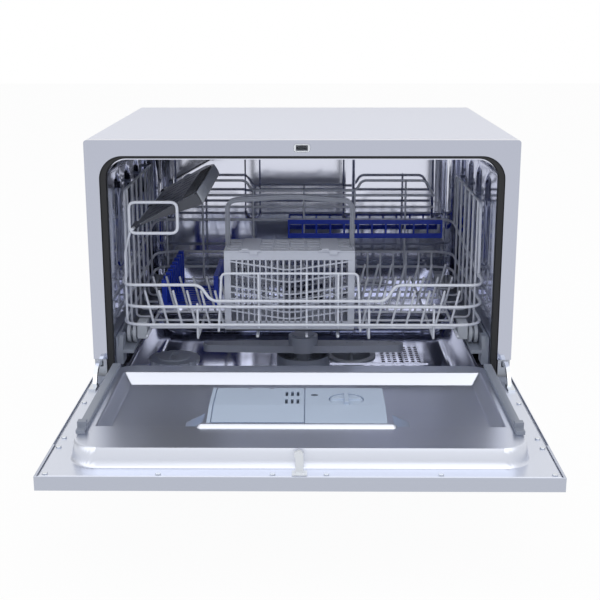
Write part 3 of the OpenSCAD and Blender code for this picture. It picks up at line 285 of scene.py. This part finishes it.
# upright ribs pressed into both side walls; they fade out under the ceiling
rib_foot, rib_head, rib_half, rib_flank, rib_rise, back_rib_rise = 262, 430, 11, 5, 4.0, 5
for rib_y in (96.0, 178.0, 260.0, 342.0):
    near_rib = to_capsule(arch_y, arch_z, (rib_y, rib_foot), (rib_y, rib_head))
    press = ramp((rib_half - near_rib) / rib_flank)
    arch_x -= np.sign(arch_x) * rib_rise * press * ramp((tub_top - 24 - arch_z) / 16)
tub_wrap = np.stack([arch_x, arch_y, arch_z], -1)
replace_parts(new_piece("tub_wrap", "cabinet", tub_steel, [tub_wrap], wrap=False, caps=False,
                      sharp=60, wall_mm=0.9, toward=(0, 0, -1)), "tub_shell")

back_x, back_z = np.meshgrid(graded((-233, 233, 1.2)), graded((rim_z, tub_top - 17, 2.6)),
                             indexing="ij")
back_y = np.full_like(back_x, tub_back_y)
for rib_x, rib_w in ((-219, 18), (-84, 25), (73, 17), (219, 18)):
    near_rib = to_capsule(back_x, back_z, (rib_x, rib_foot + rib_w / 2), (rib_x, tub_top))
    back_y -= (back_rib_rise * ramp((rib_w / 2 + 1 - near_rib) / 3)
               * ramp((tub_top - 20 - back_z) / 14))
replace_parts(new_piece("tub_back_wall", "cabinet", tub_steel,
                      [np.stack([back_x, back_y, back_z], -1)], wrap=False, caps=False,
                      wall_mm=0.9, toward=(0, -1, 0)), "tub_back")

# The floor falls from the sill at 45 degrees and rises again to the walls. The highest of
# the four slopes counts, rounded where they meet: blend * log(sum(exp(slope / blend))).
flat_z, sill_z, sill_y, sill_end, edge_z, blend = 75, 121, 32, 80, 99.4, 4
rise_x, rise_y = 226, 391   # where the floor starts to rise to the side and back walls
neck_x, neck_y, neck_r = -192, 185, 30   # hole for the softener's neck
well_x, well_y, well_half_x, well_half_y = 113, 260, 70, 38   # hole under the filter plate
floor_x, floor_y = np.meshgrid(
    graded((-249.8, -214, 2.2), (-214, 214, 6), (214, 249.8, 2.2)),
    graded((0.5, 36, 2), (36, 86, 2.5), (86, 380, 5), (380, 414.6, 2.2)), indexing="ij")
slopes = np.stack([flat_z + 0 * floor_x, np.minimum(sill_z, sill_z - (floor_y - sill_y)),
                   flat_z + np.abs(floor_x) - rise_x, flat_z + floor_y - rise_y])
pressed_z = np.log(np.exp((slopes - flat_z) / blend).sum(axis=0)) * blend + flat_z
pressed_z = np.minimum(pressed_z, np.where(floor_y < sill_end, sill_z, edge_z))
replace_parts(new_piece(
    "tub_floor_pressing", "cabinet", tub_steel, [np.stack([floor_x, floor_y, pressed_z], -1)],
    wrap=False, caps=False, wall_mm=0.9, toward=(0, 0, 1),
    hole=lambda p: ((np.hypot(p[:, 0] - neck_x, p[:, 1] - neck_y) < neck_r)
                    | ((np.abs(p[:, 0] - well_x) < well_half_x)
                       & (np.abs(p[:, 1] - well_y) < well_half_y)))),
    "tub_floor")

# ---- Door gasket ----
# Extruded hollow rubber pushed round the mouth's folded edge. It is matt and black, so it
# draws one dark line between the bright frame and the tub.

gasket_rubber = new_material("extruded_rubber_black", "#101217", 0.0, 0.6)
softened("door_gasket", gasket_rubber, 1.2, 3)

# ---- Latch housing ----
# Moulded acetal block behind the slot in the top bar, for the door's hook. It is smooth
# and white, and the frame hides most of it.

white_acetal = new_material("moulded_acetal_white", "#E9EDF3", 0.0, 0.35)
softened("latch_housing", white_acetal, 0.4)

# ---- Hinge housings and hinge arms ----
# Grey polypropylene guides at the mouth's lower corners, each with a slot for the chromed
# steel arm that is riveted to the door's inside.

chromed_steel = new_material("chrome_plated_steel", "#D4D8DE", 1.0, 0.12)
light_pp = grained(new_material("moulded_polypropylene_light_grey", "#BFC5CF", 0.0, 0.42),
                   0.8, 0.008)
softened("hinge_housings", light_pp, 0.6)
softened("hinge_arms", chromed_steel, 0.4)

# ---- Rack rails ----
# Grey polypropylene runners snapped on the tub's side walls; the rollers run on them.
# Moulded with a fine grain, so they stay satin beside the bright walls.

mid_pp = grained(new_material("moulded_polypropylene_mid_grey", "#878E9D", 0.0, 0.4), 0.8, 0.01)
softened("rack_rails", mid_pp, 0.8)

# ---- Spray arm, its collar, filter and salt cap ----
# All moulded polypropylene in mid grey with a satin skin; the spray arm and the salt cap are
# drawn in a lighter grey, painted light where the rack shades them. The filter lies in a
# perforated plate of stainless steel.

# painted light: a lighter copy of the grey plastic, standing in for light that the rack's shadow
# keeps off
painted_light_pp = grained(new_material("moulded_polypropylene_painted_light_grey", "#A9B0C0", 0.0, 0.38),
                  0.8, 0.01)
softened("spray_collar", mid_pp, 0.6)
softened("spray_arm", painted_light_pp, 1.6, 3)
softened("filter_cup", light_pp, 0.7)
softened("filter_plate", tub_steel, 0)
softened("salt_cap", painted_light_pp, 0.8)

# ---- Works under the tub ----
# Sump, pumps, heater, valve, softener and air break, moulded or drawn and hidden by the
# wrapper; plain shapes in their own plastics.

black_pp = grained(new_material("filled_polypropylene_black", "#22252B", 0.0, 0.5), 1.0, 0.02)
white_pp = new_material("moulded_polypropylene_white", "#DADDE2", 0.0, 0.45)
drawn_steel = new_material("drawn_steel_tube", "#A9ADB5", 1.0, 0.3)
for works, stuff in {
    "sump": black_pp, "wash_pump": black_pp, "drain_pump": black_pp, "heater": drawn_steel,
    "inlet_valve": white_pp, "drain_spigot": light_pp, "cable_gland": foot_rubber,
    "softener_tank": white_pp, "air_break": white_pp,
}.items():
    softened(works, stuff, 0.5)

# ---- Door's outer panel ----
# Folded tray of stainless steel with a skirt under its lower edge, brushed across the door
# and lacquered: a grey that shades softly from end to end.

brushed_steel = grained(new_material("lacquered_brushed_steel", "#B9BECB", 1.0, 0.3),
                        0.9, 0.003, (60, 1, 1))
softened("door_outer", brushed_steel, 0.4)

# ---- Door liner ----
# Pressed stainless steel with a raised panel and a basin for the dispenser, brushed
# lightly from the hinge to the front edge.

liner_steel = grained(new_material("brushed_pressed_steel", "#D2D6E1", 1.0, 0.3),
                      0.9, 0.0015, (1, 40, 1))
door_front, door_rear, flange_top, panel_top = -337.0, -1.0, 129.0, 150.0
panel_half, panel_front, panel_rear, panel_corner = 247.5, -312.0, -22.0, 34.0
basin_half, basin_front, basin_rear, basin_depth = 226.0, -244.0, -53.0, 12.0
side_run, front_run, rear_run = 11.0, 5.0, 17.0   # how far each wall of the basin leans
dart_h, dart_w, dart_start, dart_run = 11.5, 14.0, -170.0, 58.0
bead_half, bead_h = 8.0, 4.5
cutout_x, cutout_y, cutout_half_x, cutout_half_y = -4, -187, 92, 44   # for the dispenser
liner_x, liner_y = np.meshgrid(
    graded((-273.8, -249, 5), (-249, -211, 1.2), (-211, -130, 5), (-130, -104, 0.8),
           (-104, 100, 7), (100, 124, 0.8), (124, 211, 5), (211, 249, 1.2), (249, 273.8, 5)),
    graded((door_front + 1.2, -314, 4), (-314, -278, 1.4), (-278, -254, 4), (-254, -232, 0.8),
           (-232, -172, 1.6), (-172, -73, 6), (-73, -49, 1), (-49, -20, 1.4),
           (-20, door_rear - 5, 3)), indexing="ij")


def inside_round_rect(x, y, x_half, y0, y1, r):
    """How far each point lies inside a rectangle with round corners: minus the distance to
    the shrunken rectangle, plus r."""
    qx = np.abs(x) - x_half + r
    qy = np.abs(y - (y0 + y1) / 2) - (y1 - y0) / 2 + r
    away = np.hypot(np.maximum(qx, 0), np.maximum(qy, 0)) + np.minimum(np.maximum(qx, qy), 0)
    return r - away


panel = ramp(inside_round_rect(liner_x, liner_y, panel_half, panel_front, panel_rear,
                               panel_corner) / 5)
basin = np.minimum(np.clip((basin_half - np.abs(liner_x)) / side_run, 0, 1),
                   np.minimum(np.clip((liner_y - basin_front) / front_run, 0, 1),
                              np.clip((basin_rear - liner_y) / rear_run, 0, 1)))
liner_z = flange_top + (panel_top - flange_top) * panel - basin_depth * basin
# three-sided darts beside the dispenser rise to the front, highest on their outer edge
climb = np.clip((dart_start - liner_y) / dart_run, 0, 1)
for side in (-1, 1):
    off = side * (liner_x + 3) - 109 - 2 * climb
    width = dart_w * climb + 0.01
    dart = np.where(off < width, np.clip(off / width, 0, 1), np.clip(1 - (off - width) / 2, 0, 1))
    rise = dart_h * climb * dart * (liner_y > basin_front)
    liner_z = np.where(rise > 0, np.maximum(liner_z, panel_top - basin_depth + rise), liner_z)
# half-round shoulder in front of the dispenser
bead = np.maximum(1 - ((liner_y - basin_front + 0.5) / bead_half) ** 2, 0)
bead *= ramp((liner_x + 116) / 6) * ramp((108 - liner_x) / 6)
liner_z = np.where(bead > 0, np.maximum(liner_z, panel_top - 1 + bead_h * bead), liner_z)
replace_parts(new_piece(
    "liner_pressing", "door", liner_steel, [np.stack([liner_x, liner_y, liner_z], -1)],
    wrap=False, caps=False, sharp=70, wall_mm=0.8, toward=(0, 0, 1),
    hole=lambda p: ((np.abs(p[:, 0] - cutout_x) < cutout_half_x)
                    & (np.abs(p[:, 1] - cutout_y) < cutout_half_y))), "door_liner")

# ---- Control fascia, display, circuit board and buttons ----
# Moulded ABS strip let into the door's outer panel, with a grip pocket, a smoked acrylic
# window and three push buttons on a board of glass-fibre laminate.

dark_abs = grained(new_material("moulded_abs_charcoal", "#2C2F36", 0.0, 0.42), 0.5, 0.01)
smoked_acrylic = new_material("smoked_acrylic", "#08090C", 0.0, 0.08)
laminate = new_material("glass_fibre_laminate_green", "#1C5B34", 0.0, 0.45)
button_abs = new_material("moulded_abs_white", "#E8EAEE", 0.0, 0.3)
softened("control_fascia", dark_abs, 0.5)
softened("display_window", smoked_acrylic, 0.3)
softened("control_board", laminate, 0.1)
for button in ("power_button", "program_button", "start_button"):
    softened(button, button_abs, 0.7, 3)

# ---- Latch hook, roller guides and screws ----
# White acetal hook screwed to the door's front edge, grey guide strips for the rack's
# rollers, and countersunk stainless screws.

softened("latch_hook", white_acetal, 0.6)
softened("roller_guides", mid_pp, 0.6)
softened("door_screws", chromed_steel, 0.5)

# ---- Detergent dispenser ----
# Glass-filled polypropylene in blue grey: body let into the liner, sliding lid and
# quarter-turn cap for the rinse aid.

dispenser_pp = grained(new_material("moulded_polypropylene_blue_grey", "#B9C8DE", 0.0, 0.36),
                       0.6, 0.006)
softened("dispenser_body", dispenser_pp, 0.8, 3)
softened("dispenser_lid", dispenser_pp, 0.5, 3)
softened("rinse_cap", dispenser_pp, 0.5, 3)
window_pp = new_material("tinted_polypropylene_window", "#4A5666", 0.0, 0.2)
# the tinted window over the rinse aid: an oval disc set in the body's top beside the cap
window_x, window_y, window_rx, window_ry, window_z = 16, -163, 4.3, 3.3, (157.0, 158.15)
turn = np.linspace(0, 2 * np.pi, 24, endpoint=False)
oval = np.stack([window_x + window_rx * np.cos(turn), window_y + window_ry * np.sin(turn)], -1)
new_piece("rinse_window", "door", window_pp,
          [np.stack([np.column_stack([oval, np.full(len(turn), z)]) for z in window_z])])

# ---- Rack frame ----
# Steel wire of 4.2 mm, bent, spot welded and dipped in polyamide powder: a soft white-grey
# gloss that rounds every weld.

nylon_dip = new_material("polyamide_dipped_wire", "#D9DEEA", 0.0, 0.3, Coat_Weight=0.3)


def bent(points, radius):
    """Corners of a path rounded off: each becomes the quadratic curve from radius before
    it to radius after it, (1-t)^2 before + 2t(1-t) corner + t^2 after."""
    p = np.array(points, float)
    if len(p) < 3:
        return p
    before, corner, after = p[:-2], p[1:-1], p[2:]
    reach_in = np.linalg.norm(before - corner, axis=1, keepdims=True)
    reach_out = np.linalg.norm(after - corner, axis=1, keepdims=True)
    start = corner + (before - corner) * np.minimum(radius / reach_in, 0.49)
    end = corner + (after - corner) * np.minimum(radius / reach_out, 0.49)
    t = np.linspace(0, 1, 7)[None, :, None]
    curve = ((1 - t) ** 2 * start[:, None] + 2 * t * (1 - t) * corner[:, None]
             + t ** 2 * end[:, None])
    return np.vstack([p[:1], curve.reshape(-1, p.shape[1]), p[-1:]])


def wire(points, diameter, bend=6.0, normal=None, sides=10):
    """Circle carried along a path that lies in one plane: each ring is centre + r(cos a n +
    sin a (t x n)), with n the plane's normal and t the tangent; three smaller rings make
    each end a dome."""
    path = bent(points, bend)
    chord = np.diff(path, axis=0)
    chord /= np.linalg.norm(chord, axis=1, keepdims=True)
    tangent = np.vstack([chord[:1], chord[:-1] + chord[1:], chord[-1:]])
    tangent /= np.linalg.norm(tangent, axis=1, keepdims=True)
    if normal is None:
        normal = (0, 1, 0) if abs(chord[0][1]) < 0.9 else (0, 0, 1)
    n = np.array(normal, float) - tangent * (tangent @ np.array(normal, float))[:, None]
    n /= np.linalg.norm(n, axis=1, keepdims=True)
    r = diameter / 2
    dome = np.radians([80, 50, 22])
    centre = np.vstack([path[0] - tangent[0] * r * np.sin(dome)[:, None], path,
                        path[-1] + tangent[-1] * r * np.sin(dome[::-1])[:, None]])
    girth = np.concatenate([r * np.cos(dome), np.full(len(path), r), r * np.cos(dome[::-1])])
    n = np.vstack([np.repeat(n[:1], 3, 0), n, np.repeat(n[-1:], 3, 0)])
    across = np.cross(np.vstack([np.repeat(tangent[:1], 3, 0), tangent,
                                 np.repeat(tangent[-1:], 3, 0)]), n)
    a = np.arange(sides) * 2 * np.pi / sides
    return (centre[:, None] + girth[:, None, None]
            * (np.cos(a)[None, :, None] * n[:, None] + np.sin(a)[None, :, None] * across[:, None]))


rack_half, rack_front_y, rack_back_y = 241.0, 32.0, 384.0
ring_low, ring_mid, rail, rail_back, floor_z = 188.0, 213.0, 243.0, 266.0, 171.0
thick, thin, behind = 4.2, 3.4, 3.0


def ring(z_front, z_back):
    """Closed loop of wire round the rack, with corners of 32 mm; it rises along the sides
    from z_front to z_back."""
    x, y0, y1 = rack_half, rack_front_y, rack_back_y
    return [[0, y0, z_front], [x, y0, z_front], [x, y1, z_back], [-x, y1, z_back],
            [-x, y0, z_front], [0, y0, z_front]]


frame_wires = [wire(ring(ring_low, ring_low), thick, 34, (0, 0, 1)),
               wire(ring(ring_mid, ring_mid), thick, 34, (0, 0, 1))]
# the top rail dips at the basket, and climbs along both sides to the back
side_y0, side_y1 = rack_front_y + 32, rack_back_y - 32
front_rail = [[-136, rack_front_y, rail], [-121, rack_front_y, rail - 22],
              [111, rack_front_y, rail - 22], [124, rack_front_y, rail]]
frame_wires.append(wire([[-rack_half + 32, rack_front_y, rail]] + front_rail
                        + [[rack_half - 32, rack_front_y, rail]], thick, 9, (0, 1, 0)))
for side in (-1, 1):
    x = side * rack_half
    high = 360 if side < 0 else 343
    frame_wires += [
        wire([[x - side * 33, rack_front_y, rail], [x, rack_front_y, rail],
              [x, rack_back_y, rail_back], [x - side * 33, rack_back_y, rail_back]],
             thick, 32, (0, 0, 1)),
        # raised guard rail above the side
        wire([[x, side_y0 + 20, rail], [x, side_y0 + 26, high], [x, side_y1, high],
              [x, side_y1 + 6, rail_back]], thick, 12, (1, 0, 0))]
    for y in side_y0 + 30 + 42 * np.arange(6):
        inner = x - side * behind
        frame_wires.append(wire([[x - side * 26, y, floor_z], [inner, y, floor_z],
                                 [inner, y, high + 1]], thin, 7, (0, 1, 0)))
back_y, back_top = rack_back_y, rail + 87
for z in (rail_back, back_top - 43, back_top - 24):
    frame_wires.append(wire([[-rack_half + 33, back_y, z], [rack_half - 33, back_y, z]], thick,
                            normal=(0, 0, 1)))
frame_wires.append(wire([[-209, back_y, back_top - 24], [-197, back_y, back_top],
                         [-93, back_y, back_top], [-85, back_y, back_top - 16],
                         [85, back_y, back_top - 16], [93, back_y, back_top],
                         [197, back_y, back_top], [209, back_y, back_top - 24]], thick, 8,
                        (0, 1, 0)))
for x in 82.0 * np.arange(-2, 3):
    top = back_top - 15 if abs(x) < 93 else back_top + 1
    frame_wires.append(wire([[x, back_y - behind, floor_z - 1.7], [x, back_y - behind, top]],
                            thin))
# uprights and turned-up feet behind the front rings, and the loop round the basket
post_y = rack_front_y + behind
for x in (-58, 6, 48):
    frame_wires.append(wire([[x, post_y, ring_low - 4], [x, post_y, 258]], thin - 0.3))
for x in (-140, 89.5, 176):
    frame_wires.append(wire([[x, post_y, floor_z - 1.7], [x, post_y, ring_mid + 2.7]], thin))
frame_wires.append(wire([[-112, post_y, 179], [-107, post_y, 258], [74, post_y, 258],
                         [78, post_y, 179]], thin, 7, (0, 1, 0)))
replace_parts(new_piece("rack_frame", "rack", nylon_dip, frame_wires),
            "rack_front", "rack_back", "rack_left", "rack_right")

floor_y0, floor_y1 = 37.0, 379.0
floor_wires = [wire([[x, floor_y0, floor_z], [x, floor_y1, floor_z]], thick)
               for x in (-209, -140, -60, 6, 48, 89.5, 176, 209)]
floor_wires += [wire([[-210.8, y, 174], [210.8, y, 174]], thin, normal=(0, 0, 1))
                for y in (106, 188, 270, 352)]
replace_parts(new_piece("rack_floor_wires", "rack", nylon_dip, floor_wires), "rack_floor")

# ---- Tines ----
# Wire of 3.4 mm welded upright on a cross wire, each leaning a little so that plates lean
# too; dipped with the frame.

base_z, tine_h, row_y, row_pitch = 175.0, 53.0, 65.0, 82.0


def tine_rows(name, node, x0, pitch, count, side, rows):
    """Rows of (row number, lean in mm): tine i stands at x0 + side * i * pitch and leans
    by lean at its top."""
    wires = []
    for row, lean in rows:
        y = row_y + row * row_pitch
        wires.append(wire([[x0 - side * 4, y, base_z], [x0 + side * ((count - 1) * pitch + 6), y,
                                                        base_z]], thin, normal=(0, 0, 1)))
        for x in x0 + side * pitch * np.arange(count):
            wires.append(wire([[x, y, base_z], [x + side * lean, y, base_z + tine_h - 2]], thin))
    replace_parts(new_piece(name, "rack", nylon_dip, wires), node)


tine_rows("plate_tines_left", "tines_left", -106.4, 19.1, 6, -1, ((0, 12), (1, 12)))
tine_rows("plate_tines_right", "tines_right", 80.5, 20.1, 7, 1, ((0, 12), (1, 12)))
tine_rows("plate_tines_rear", "tines_rear", 80.5, 20.1, 7, 1, ((2, 12), (3, 0)))

# ---- Shelf loop and hinge wire ----
# One bent wire that stands on the rack's left front corner and carries the cup shelf's
# hinge wire along the side.

shelf_x, shelf_z, loop_y = -222.0, 318.0, 31.0
loop_x, loop_top, loop_low = shelf_x - 4, shelf_z + 36, shelf_z - 5
loop_wires = [
    wire([[loop_x + 30, loop_y, loop_top], [loop_x + 63, loop_y, loop_top],
          [loop_x + 63, loop_y, loop_low], [loop_x, loop_y, loop_low],
          [loop_x, loop_y, loop_top], [loop_x + 30, loop_y, loop_top]], thick, 9, (0, 1, 0)),
    wire([[loop_x, loop_y, loop_low], [loop_x - 8, loop_y + 6, loop_low - 26],
          [loop_x - 9, loop_y + 8, ring_low + 8], [loop_x - 9, loop_y + 12, ring_low + 3]],
         thin, 8, (0, 1, 0)),
    wire([[shelf_x, 376.2, ring_low + 3], [shelf_x, 376.2, shelf_z + 1]], thin),
    wire([[shelf_x, 377, shelf_z], [shelf_x, loop_y, shelf_z], [loop_x, loop_y, shelf_z]],
         thick - 0.1, 3.5, (0, 0, 1))]
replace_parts(new_piece("shelf_loop", "rack", nylon_dip, loop_wires), "rack_loop")

# ---- Roller brackets and rollers ----
# Grey polypropylene brackets clipped on the rack's lowest wires, with twin-disc wheels.
# Moulded with a fine grain that leaves a soft satin.

softened("roller_brackets", light_pp, 0.7)
for wheel in ("rollers_fl", "rollers_fr", "rollers_rl", "rollers_rr"):
    softened(wheel, light_pp, 0.8, 3)

# ---- Blue strip and spiked holder ----
# Moulded polypropylene clipped on the wires. It is dyed through in cobalt blue, so edges
# and fins are as blue as the flats.

cobalt_pp = grained(new_material("moulded_polypropylene_cobalt", "#1F45D0", 0.0, 0.34),
                    0.8, 0.006)
softened("glass_strip", cobalt_pp, 0.5)
softened("spike_holder", cobalt_pp, 0.8)

# ---- Cutlery basket ----
# Injection-moulded polypropylene: a lattice of thin bars with chevron ties in solid borders,
# a slotted lid held by two clips, and a strap handle with two grooves.

basket_pp = grained(new_material("moulded_polypropylene_basket_grey", "#BCC1CF", 0.0, 0.4),
                    0.8, 0.006)
# painted shade: the strap handle's grey is drawn darker than the lattice's for the shadow that
# falls on it
painted_shade_strap_pp = grained(new_material("moulded_polypropylene_strap_painted_shade", "#8F94A2", 0.0, 0.33),
                   0.8, 0.006)
left, right, near, far, base, rim = -104.0, 70.0, 42.0, 120.0, 177.2, 287.2
middle, grip_y, lattice_top, lattice_low = (left + right) / 2, 81.0, 274.5, 190.6


def block(x, y, z):
    """Box between three ranges, as two rings of four corners."""
    ring_of_four = [[x[0], y[0]], [x[1], y[0]], [x[1], y[1]], [x[0], y[1]]]
    return np.array([[corner + [height] for corner in ring_of_four] for height in z])


def strap(points, section, bend):
    """Outline of (out, along y) points carried along a path in the x-z plane: each ring is
    centre + out * (t x y) + along * y, with t the tangent."""
    path = bent(points, bend)
    chord = np.diff(path, axis=0)
    chord /= np.linalg.norm(chord, axis=1, keepdims=True)
    tangent = np.vstack([chord[:1], chord[:-1] + chord[1:], chord[-1:]])
    tangent /= np.linalg.norm(tangent, axis=1, keepdims=True)
    out = np.cross(tangent, (0, 1, 0))
    s = np.array(section, float)
    return (path[:, None] + s[None, :, :1] * out[:, None]
            + s[None, :, 1:] * np.array((0, 1, 0))[None, None])


lattice = [block((left, right), (near, far), (base, base + 2.2))]
for y0 in (near, far - 2.2):
    face = (y0, y0 + 2.2)
    lattice += [block((left, right), face, (lattice_top, rim - 2)),
                block((left, left + 8.8), face, (base, lattice_top)),
                block((right - 9.2, right), face, (base, lattice_top)),
                block((left + 8.8, right - 9.2), face, (base, lattice_low))]
    lattice += [block((x - 1.15, x + 1.15), face, (lattice_low - 3, lattice_top + 1))
                for x in left + 8.8 + 7.8 * np.arange(1, 20)]
    tie = ((-1.0, -1.0), (-1.0, 1.0), (1.0, 1.0), (1.0, -1.0))
    for low in (260.3, 243.8, 226.6, 218.3, 209.8, 201.9, 192.9):
        lattice.append(strap([[left + 6, y0 + 1.1, min(low + 12.7, lattice_top)],
                              [middle, y0 + 1.1, low],
                              [right - 6, y0 + 1.1, min(low + 12.7, lattice_top)]], tie, 14))
for x0 in (left, middle - 1.1, right - 2.2):
    wall = (x0, x0 + 2.2)
    lattice += [block(wall, (near + 0.5, near + 8), (base, rim - 2)),
                block(wall, (far - 8, far - 0.5), (base, rim - 2)),
                block(wall, (near + 1, far - 1), (lattice_top, rim - 2)),
                block(wall, (near + 1, far - 1), (base, 194.5))]
    lattice += [block(wall, (y - 1.1, y + 1.1), (190, lattice_top + 1))
                for y in near + 8 + 7.75 * np.arange(1, 8)]
    lattice += [block((x0 + 0.2, x0 + 2.0), (near + 2, far - 2), (z, z + 2))
                for z in (207, 220, 233, 246, 259)]
# lid: rails along x, cross rails between its eight columns, and two clip plates
lattice += [block((left, right), (y, y + 9.2), (rim - 2, rim))
            for y in near + 17.2 * np.arange(5)]
lattice += [block((x - 1.2, x + 1.2), (near + 0.2, far - 0.2), (rim - 2.1, rim - 0.1))
            for x in np.linspace(left + 1.2, right - 1.2, 9)]
lattice += [block((x, x + 23.5), (near, far), (rim - 0.6, rim + 1.3)) for x in (-80.6, 24.5)]
clips = [block((x + dx, x + dx + w), (near - 1.6, near + 1.5), (z, z + h))
         for x in (-84.0, 22.0) for dx, w, z, h in
         ((0, 29, rim - 1.2, 2.2), (4, 9, rim, 3.2), (14, 11, rim - 5, 4.4))]
basket_lattice = new_piece("basket_lattice", "cutlery_basket", basket_pp, lattice + clips,
                           sharp=30)
edges = basket_lattice.modifiers.new("rounded edges", "BEVEL")
edges.width, edges.segments, edges.limit_method = 0.0003, 1, "ANGLE"
grooved = ((3, -5), (2.3, -5), (1.9, -4.1), (1.0, -4.1), (0.6, -5), (-0.6, -5), (-1.0, -4.1),
           (-1.9, -4.1), (-2.3, -5), (-3, -5), (-3, 5), (3, 5))
handle = strap([[left + 3, grip_y, rim - 28], [left + 3, grip_y, 348], [middle, grip_y, 354],
                [right - 3, grip_y, 348], [right - 3, grip_y, rim - 28]], grooved, 13)
new_piece("basket_handle", "cutlery_basket", painted_shade_strap_pp, [handle], sharp=35)
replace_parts(basket_lattice, "cutlery_basket")

# ---- Cup shelf ----
# Moulded polypropylene flap that snaps on the hinge wire: a dark grey slotted plate whose
# pale rim is turned down and fluted along the front and the inner edge.

slate_pp = grained(new_material("moulded_polypropylene_slate", "#3C404B", 0.0, 0.35), 0.8, 0.008)
softened("cup_shelf", slate_pp, 0.4)
tilt, rim_top, rim_wall = math.radians(29), 1.6, 0.8
# the rim's path along the front and the inner edge, one column every 0.75 mm
edge = bent([[12, 35.4], [97.8, 35.4], [97.8, 309], [76, 366]], 12)
run = np.concatenate([[0], np.cumsum(np.linalg.norm(np.diff(edge, axis=0), axis=1))])
s = np.arange(0, run[-1], 0.75)
u, v = (np.interp(s, run, edge[:, k]) for k in (0, 1))
drop = np.interp(s, (0, 78, run[-1] - 50, run[-1]), (1.5, 16, 16, 5))
flute = 0.5 * np.sin(s * 2 * np.pi / 3.1) * ramp((s - 60) / 10)
out_u, out_v = np.gradient(v), -np.gradient(u)
length = np.hypot(out_u, out_v)
rows = []
for depth, swell in ((0.0, 0.2), (0.35, 1.0), (0.75, 1.0), (1.0, 0.2)):
    off = 0.3 + swell * (0.4 + flute)
    w = rim_top - depth * drop
    rows.append(np.stack([u + off * out_u / length, v + off * out_v / length, w], -1))
for depth in (1.0, 0.0):
    rows.append(np.stack([u - rim_wall * out_u / length, v - rim_wall * out_v / length,
                          rim_top - depth * drop], -1))
rim_uvw = np.stack(rows, 1)
# turned about the hinge wire by the shelf's tilt
lip_x = shelf_x + rim_uvw[..., 0] * math.cos(tilt) - rim_uvw[..., 2] * math.sin(tilt)
lip_z = shelf_z + rim_uvw[..., 0] * math.sin(tilt) + rim_uvw[..., 2] * math.cos(tilt)
shelf_rim = np.stack([lip_x, rim_uvw[..., 1], lip_z], -1)
new_piece("shelf_rim", "cup_shelf", light_pp, [shelf_rim], sharp=60)

# ---- Floor, backdrop, lamps and camera ----
# A pale sweep under three large soft boxes: one at the right, one at the left, one above.
# They are wide, so their glints in the steel have soft borders.


def studio_plane(name, corner, right, up, material):
    """Flat rectangle from one corner and two edges, in metres."""
    c, r, u = (np.array(v, float) for v in (corner, right, up))
    mesh = bpy.data.meshes.new(name)
    mesh.from_pydata([c.tolist(), (c + r).tolist(), (c + r + u).tolist(), (c + u).tolist()],
                     [], [[0, 1, 2, 3]])
    mesh.materials.append(material)
    plane = bpy.data.objects.new(name, mesh)
    bpy.context.scene.collection.objects.link(plane)
    return plane


def seen_or_mirrored(material):
    """One where a ray comes from the camera, from gloss or from glass, and zero elsewhere."""
    path = add_node(material, "ShaderNodeLightPath")
    first = add_node(material, "ShaderNodeMath", {"operation": "MAXIMUM"},
                     {0: path.outputs["Is Camera Ray"], 1: path.outputs["Is Glossy Ray"]})
    return add_node(material, "ShaderNodeMath", {"operation": "MAXIMUM"},
                    {0: first.outputs[0], 1: path.outputs["Is Transmission Ray"]}).outputs[0]


floor_glow = 0.96    # share of the floor that is plain white to the eye and in mirrors
world_light = 0.42   # strength at which the world lights the object; the eye sees it at 1
sweep = new_material("paper_sweep_white", "#F4F5F7", 0.0, 0.9)
seen = seen_or_mirrored(sweep)
glow = add_node(sweep, "ShaderNodeEmission", {"Color": (1, 1, 1, 1), "Strength": 1.0})
share = add_node(sweep, "ShaderNodeMath", {"operation": "MULTIPLY", 1: floor_glow},
                 {0: seen})
mixed = add_node(sweep, "ShaderNodeMixShader", {}, {
    0: share.outputs[0], 1: sweep.node_tree.nodes["Principled BSDF"].outputs[0],
    2: glow.outputs[0]})
sweep.node_tree.links.new(mixed.outputs[0],
                          sweep.node_tree.nodes["Material Output"].inputs["Surface"])
studio_plane("floor", (-8, -8, 0), (16, 0, 0), (0, 16, 0), sweep)

world = bpy.data.worlds.new("studio")
bpy.context.scene.world = world
world.use_nodes = True
background = world.node_tree.nodes["Background"]
background.inputs["Color"].default_value = linear("#FFFFFF")
level = add_node(world, "ShaderNodeMapRange", {"To Min": world_light, "To Max": 1.0},
                 {"Value": seen_or_mirrored(world)})
world.node_tree.links.new(level.outputs["Result"], background.inputs["Strength"])


def soft_box(name, place, aim, size, watts):
    """Square area lamp at place, turned to aim, in metres and watts."""
    lamp = bpy.data.lights.new(name, "AREA")
    lamp.energy, lamp.shape, lamp.size = watts, "SQUARE", size
    holder = bpy.data.objects.new(name, lamp)
    bpy.context.scene.collection.objects.link(holder)
    holder.location = place
    way = np.array(aim, float) - np.array(place, float)
    holder.rotation_euler = (math.atan2(math.hypot(way[0], way[1]), -way[2]), 0,
                             math.atan2(-way[0], way[1]))


soft_box("key", (1.0, -2.1, 2.5), (0, 0, 0.2), 4.4, 40)
soft_box("fill", (-1.9, -1.6, 1.7), (0, 0, 0.2), 2.8, 15)
soft_box("top", (0, 0.2, 2.8), (0, 0, 0.2), 3.6, 17)

# the camera stands where the photograph was taken from, as fitted with the part's own size
camera = bpy.data.cameras.new("camera")
camera.lens, camera.sensor_width = 66.9, 36
camera_holder = bpy.data.objects.new("camera", camera)
bpy.context.scene.collection.objects.link(camera_holder)
camera_holder.location = (0.01144, -1.47526, 0.59614)
camera_holder.rotation_euler = (math.radians(75.41), 0.001, 0.0097)
bpy.context.scene.camera = camera_holder
bpy.context.scene.view_settings.view_transform = "Standard"
